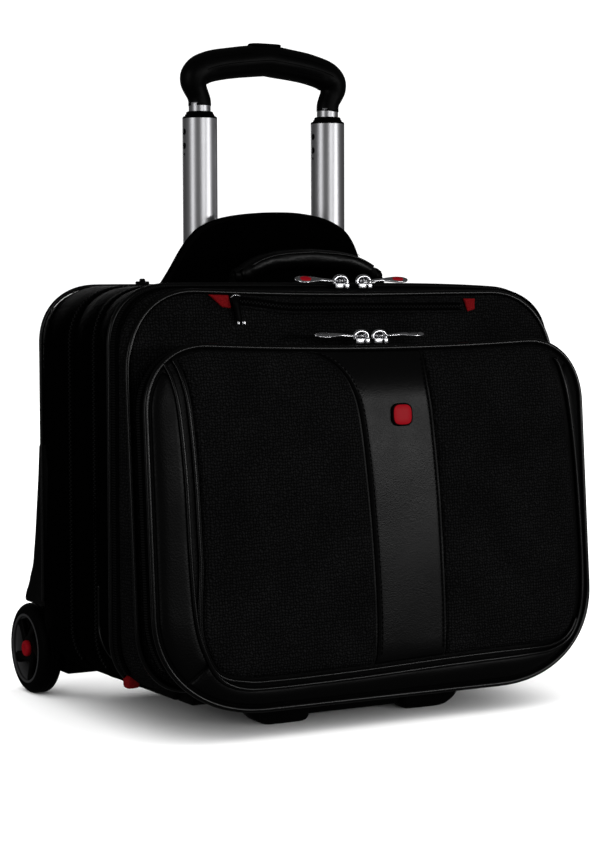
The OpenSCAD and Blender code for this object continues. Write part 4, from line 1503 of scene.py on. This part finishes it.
def inlay_part(x, y, z, way, roll):
    """The plain coloured inlay in a puller's leaf."""
    turn = turns(28)
    rings = []
    for share, rise in ((1.0, 0.7), (1.0, 1.4), (0.86, 1.65), (0.5, 1.8)):
        along = PULLER_LENGTH * 0.77 + 5.4 * share * np.cos(turn)
        rings.append(leaf_point(x, y, z, way, roll, along, 2.9 * share * np.sin(turn), rise))
    return capped(rings)


def make_sliders():
    """The four cast sliders of the two front zips, with their pullers."""
    for name, x, y, z, way, roll, inlay in (
        ("main_left", -4, MAIN_ZIP_Y, MAIN_ZIP_Z, -1, 36, True),
        ("main_right", 19, MAIN_ZIP_Y, MAIN_ZIP_Z, 1, 30, True),
        ("pocket_left", -7, 17, 323, -1, 26, False),
        ("pocket_right", 11, 17, 323, 1, 20, False),
    ):
        group, side = name.split("_")
        slider_body, puller_body = f"{group}_slider_{side}", f"{group}_puller_{side}"
        build(name + "_slider_cast", slider_part(x, y, z), CHROME, slider_body, [slider_body])
        leaf = puller_part(x, y, z + PULLER_EYE, way, roll)
        build(name + "_puller_cast", leaf, CHROME, puller_body, [puller_body])
        if inlay:
            field = inlay_part(x, y, z + PULLER_EYE, way, roll)
            build(name + "_puller_inlay", field, RED_GLOSS, puller_body)


def make_rear_slider():
    """The small slider with a knob on the rear zip."""
    x, y, z = -146, 152, 371.1
    body = box_part((x - 5, y - 4, z), (x + 5, y + 4, z + 2.6), 0.8)
    knob = tube(smooth([(x, y, z + 1), (x, y, z + 4.2)], 6), 2.6, 16)
    build("rear_slider_knob", merged([body, knob]), PLASTIC, "rear_slider",
          ["rear_slider"])


# ---------- inside ----------

def make_divider():
    """The padded divider between the two compartments, quilted in channels."""
    x = np.linspace(-204, 204, 96)
    z = np.linspace(40, 298, 66)
    grid_x, grid_z = np.meshgrid(x, z)
    loop = outline("tub", -5.0, fine=True)
    d = distance(np.stack([grid_x.ravel(), grid_z.ravel()], 1), loop).reshape(grid_x.shape)
    limit = np.interp(grid_z, [40, 50, 62, 82], [168, 186, 198, 204.5])
    grid_x = np.clip(grid_x, -limit, limit)
    quilt = 1.4 * np.abs(np.sin(grid_x * pi / 51)) ** 0.5 * rounded((298 - grid_z) / 8) * rounded(d / 6)
    front = points_of(grid_x, 97.6 - quilt * 0.6, grid_z)
    back = points_of(grid_x, 100.4 + quilt * 0.6, grid_z)
    build("divider_quilt", slab_of(front, back), LINING, "case", ["divider_panel"])
    top = points_of(np.linspace(-204, 204, 60), 99.0, 298.5)
    build("divider_binding", tube(top, 2.2, 10), PIPING, "case")


def make_hinge_strip():
    """The fabric strip under the case that the lid folds on."""
    x = np.linspace(-158, 158, 60)
    y = np.linspace(46, 84, 16)
    grid_x, grid_y = np.meshgrid(x, y)
    low = np.interp(grid_y, [46, 60, 66, 84], [34.8, 35.6, 35.8, 35.4])
    front = points_of(grid_x, grid_y, low)
    back = points_of(grid_x, grid_y, low + 1.2)
    strip = build("hinge_strip", slab_of(front, back), TAPE, None)
    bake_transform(strip)


# ---------- carried CAD nodes ----------

CARRIED = {
    "wide_tube_left": ALUMINIUM, "wide_tube_right": ALUMINIUM, "handle_sleeves": ALUMINIUM,
    "axle_left": STEEL, "axle_right": STEEL,
    "push_rods": STEEL, "latch_blocks": PLASTIC, "sleeve_base": PLASTIC, "handle_wall": LINING,
    "wheel_bracket_left": PLASTIC, "wheel_bracket_right": PLASTIC,
}


def finish_carried():
    """Gives the CAD nodes that stay in the picture their materials."""
    for node, material in CARRIED.items():
        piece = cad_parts[node]
        piece.data.materials.clear()
        piece.data.materials.append(material)


# ---------- stage ----------

def make_camera():
    """A long lens from the front left, a little above the case."""
    azimuth, pitch, roll = radians(29.49), radians(3.57), radians(-0.17)
    camera = bpy.data.objects.new("camera", bpy.data.cameras.new("camera"))
    camera.data.lens = 88.95
    camera.data.sensor_width = 36.0
    camera.data.clip_start = 0.05
    camera.location = (-0.9339, -1.5172 + SHIFT_Y, 0.3594)
    turn = Euler((pi / 2 - pitch, 0, -azimuth), "XYZ").to_matrix()
    camera.rotation_euler = (turn @ Euler((0, 0, roll)).to_matrix()).to_euler()
    bpy.context.scene.collection.objects.link(camera)
    bpy.context.scene.camera = camera


def area_light(name, place, target, size, power):
    """A softbox that faces a target. size is its width and height."""
    data = bpy.data.lights.new(name, "AREA")
    data.shape = "RECTANGLE"
    data.size, data.size_y = size
    data.energy = power
    light = bpy.data.objects.new(name, data)
    light.location = place
    light.rotation_euler = (Vector(target) - Vector(place)).to_track_quat("-Z", "Y").to_euler()
    bpy.context.scene.collection.objects.link(light)
    return light


def make_lights(floor):
    """Softboxes in front, a weak one behind, and a wide overhead sun that lights the floor alone."""
    area_light("front_right", (1.25, -2.1, 0.46), (0, 0, 0.25), (0.8, 0.16), 8)
    area_light("front_high", (-0.2, -2.5, 0.8), (0, 0, 0.2), (1.0, 0.6), 6)
    area_light("left_strip", (-2.4, -0.55, 0.75), (0, 0.05, 0.35), (0.8, 1.2), 6)
    area_light("back_fill", (0.6, 2.6, 0.45), (0, 0.2, 0.2), (1.4, 0.8), 2.5)
    sun = bpy.data.objects.new("floor_sun", bpy.data.lights.new("floor_sun", "SUN"))
    sun.data.energy = 6.8
    sun.data.angle = 2.4
    sun.rotation_euler = (radians(20), 0, 0)
    bpy.context.scene.collection.objects.link(sun)
    lit = bpy.data.collections.new("floor_only")
    lit.objects.link(floor)
    sun.light_linking.receiver_collection = lit


def make_back_light():
    """A softbox behind the case that lights only the pieces of its back."""
    light = area_light("back_wash", (0.5, 2.4, 1.0), (0, 0.2, 0.2), (1.4, 0.8), 40)
    washed = bpy.data.collections.new("back_only")
    for name in ("bumper", "tub_cloth", "base_pan"):
        washed.objects.link(bpy.data.objects[name])
    light.light_linking.receiver_collection = washed


def make_stage():
    """A pale floor that fades into the white background."""
    bpy.ops.mesh.primitive_plane_add(size=24)
    floor = bpy.context.object
    floor.name = "floor"
    material = bpy.data.materials.new("floor_paper")
    material.use_nodes = True
    body = material.node_tree.nodes["Principled BSDF"]
    body.inputs["Base Color"].default_value = (0.8, 0.8, 0.8, 1)
    body.inputs["Roughness"].default_value = 0.9
    body.inputs["Specular IOR Level"].default_value = 0.0
    floor.data.materials.append(material)
    floor.visible_diffuse = False
    floor.visible_glossy = False
    return floor


def make_world():
    """A white background that lights the case only weakly."""
    world = bpy.data.worlds.new("studio")
    bpy.context.scene.world = world
    world.use_nodes = True
    tree = world.node_tree
    background = tree.nodes["Background"]
    background.inputs["Color"].default_value = (1, 1, 1, 1)
    rays = tree.nodes.new("ShaderNodeLightPath")
    strength = remap(tree, rays.outputs["Is Camera Ray"], 0, 1, 0.05, 1.2)
    tree.links.new(strength, background.inputs["Strength"])
    bpy.context.scene.view_settings.view_transform = "Standard"
    bpy.context.scene.view_settings.look = "None"


# ---------- the whole scene ----------

make_camera()
make_world()
make_lights(make_stage())

for make in (make_tub, make_tub_zips, make_tub_trim, make_side_seams, make_lid, make_lid_trim,
             make_slit_pocket, make_gusset, make_pocket_body, make_face_panels, make_pocket_trim,
             make_badge, make_hump, make_carry_handle, make_grip, make_button, make_collars,
             make_narrow_tubes, make_tube_guides, make_tube_holes):
    make()
for wheel_side in (-1, 1):
    make_wheel(wheel_side)
for make in (make_bumper, make_feet, make_base, make_red_tag, make_sliders, make_rear_slider,
             make_divider, make_hinge_strip):
    make()
finish_carried()
make_back_light()
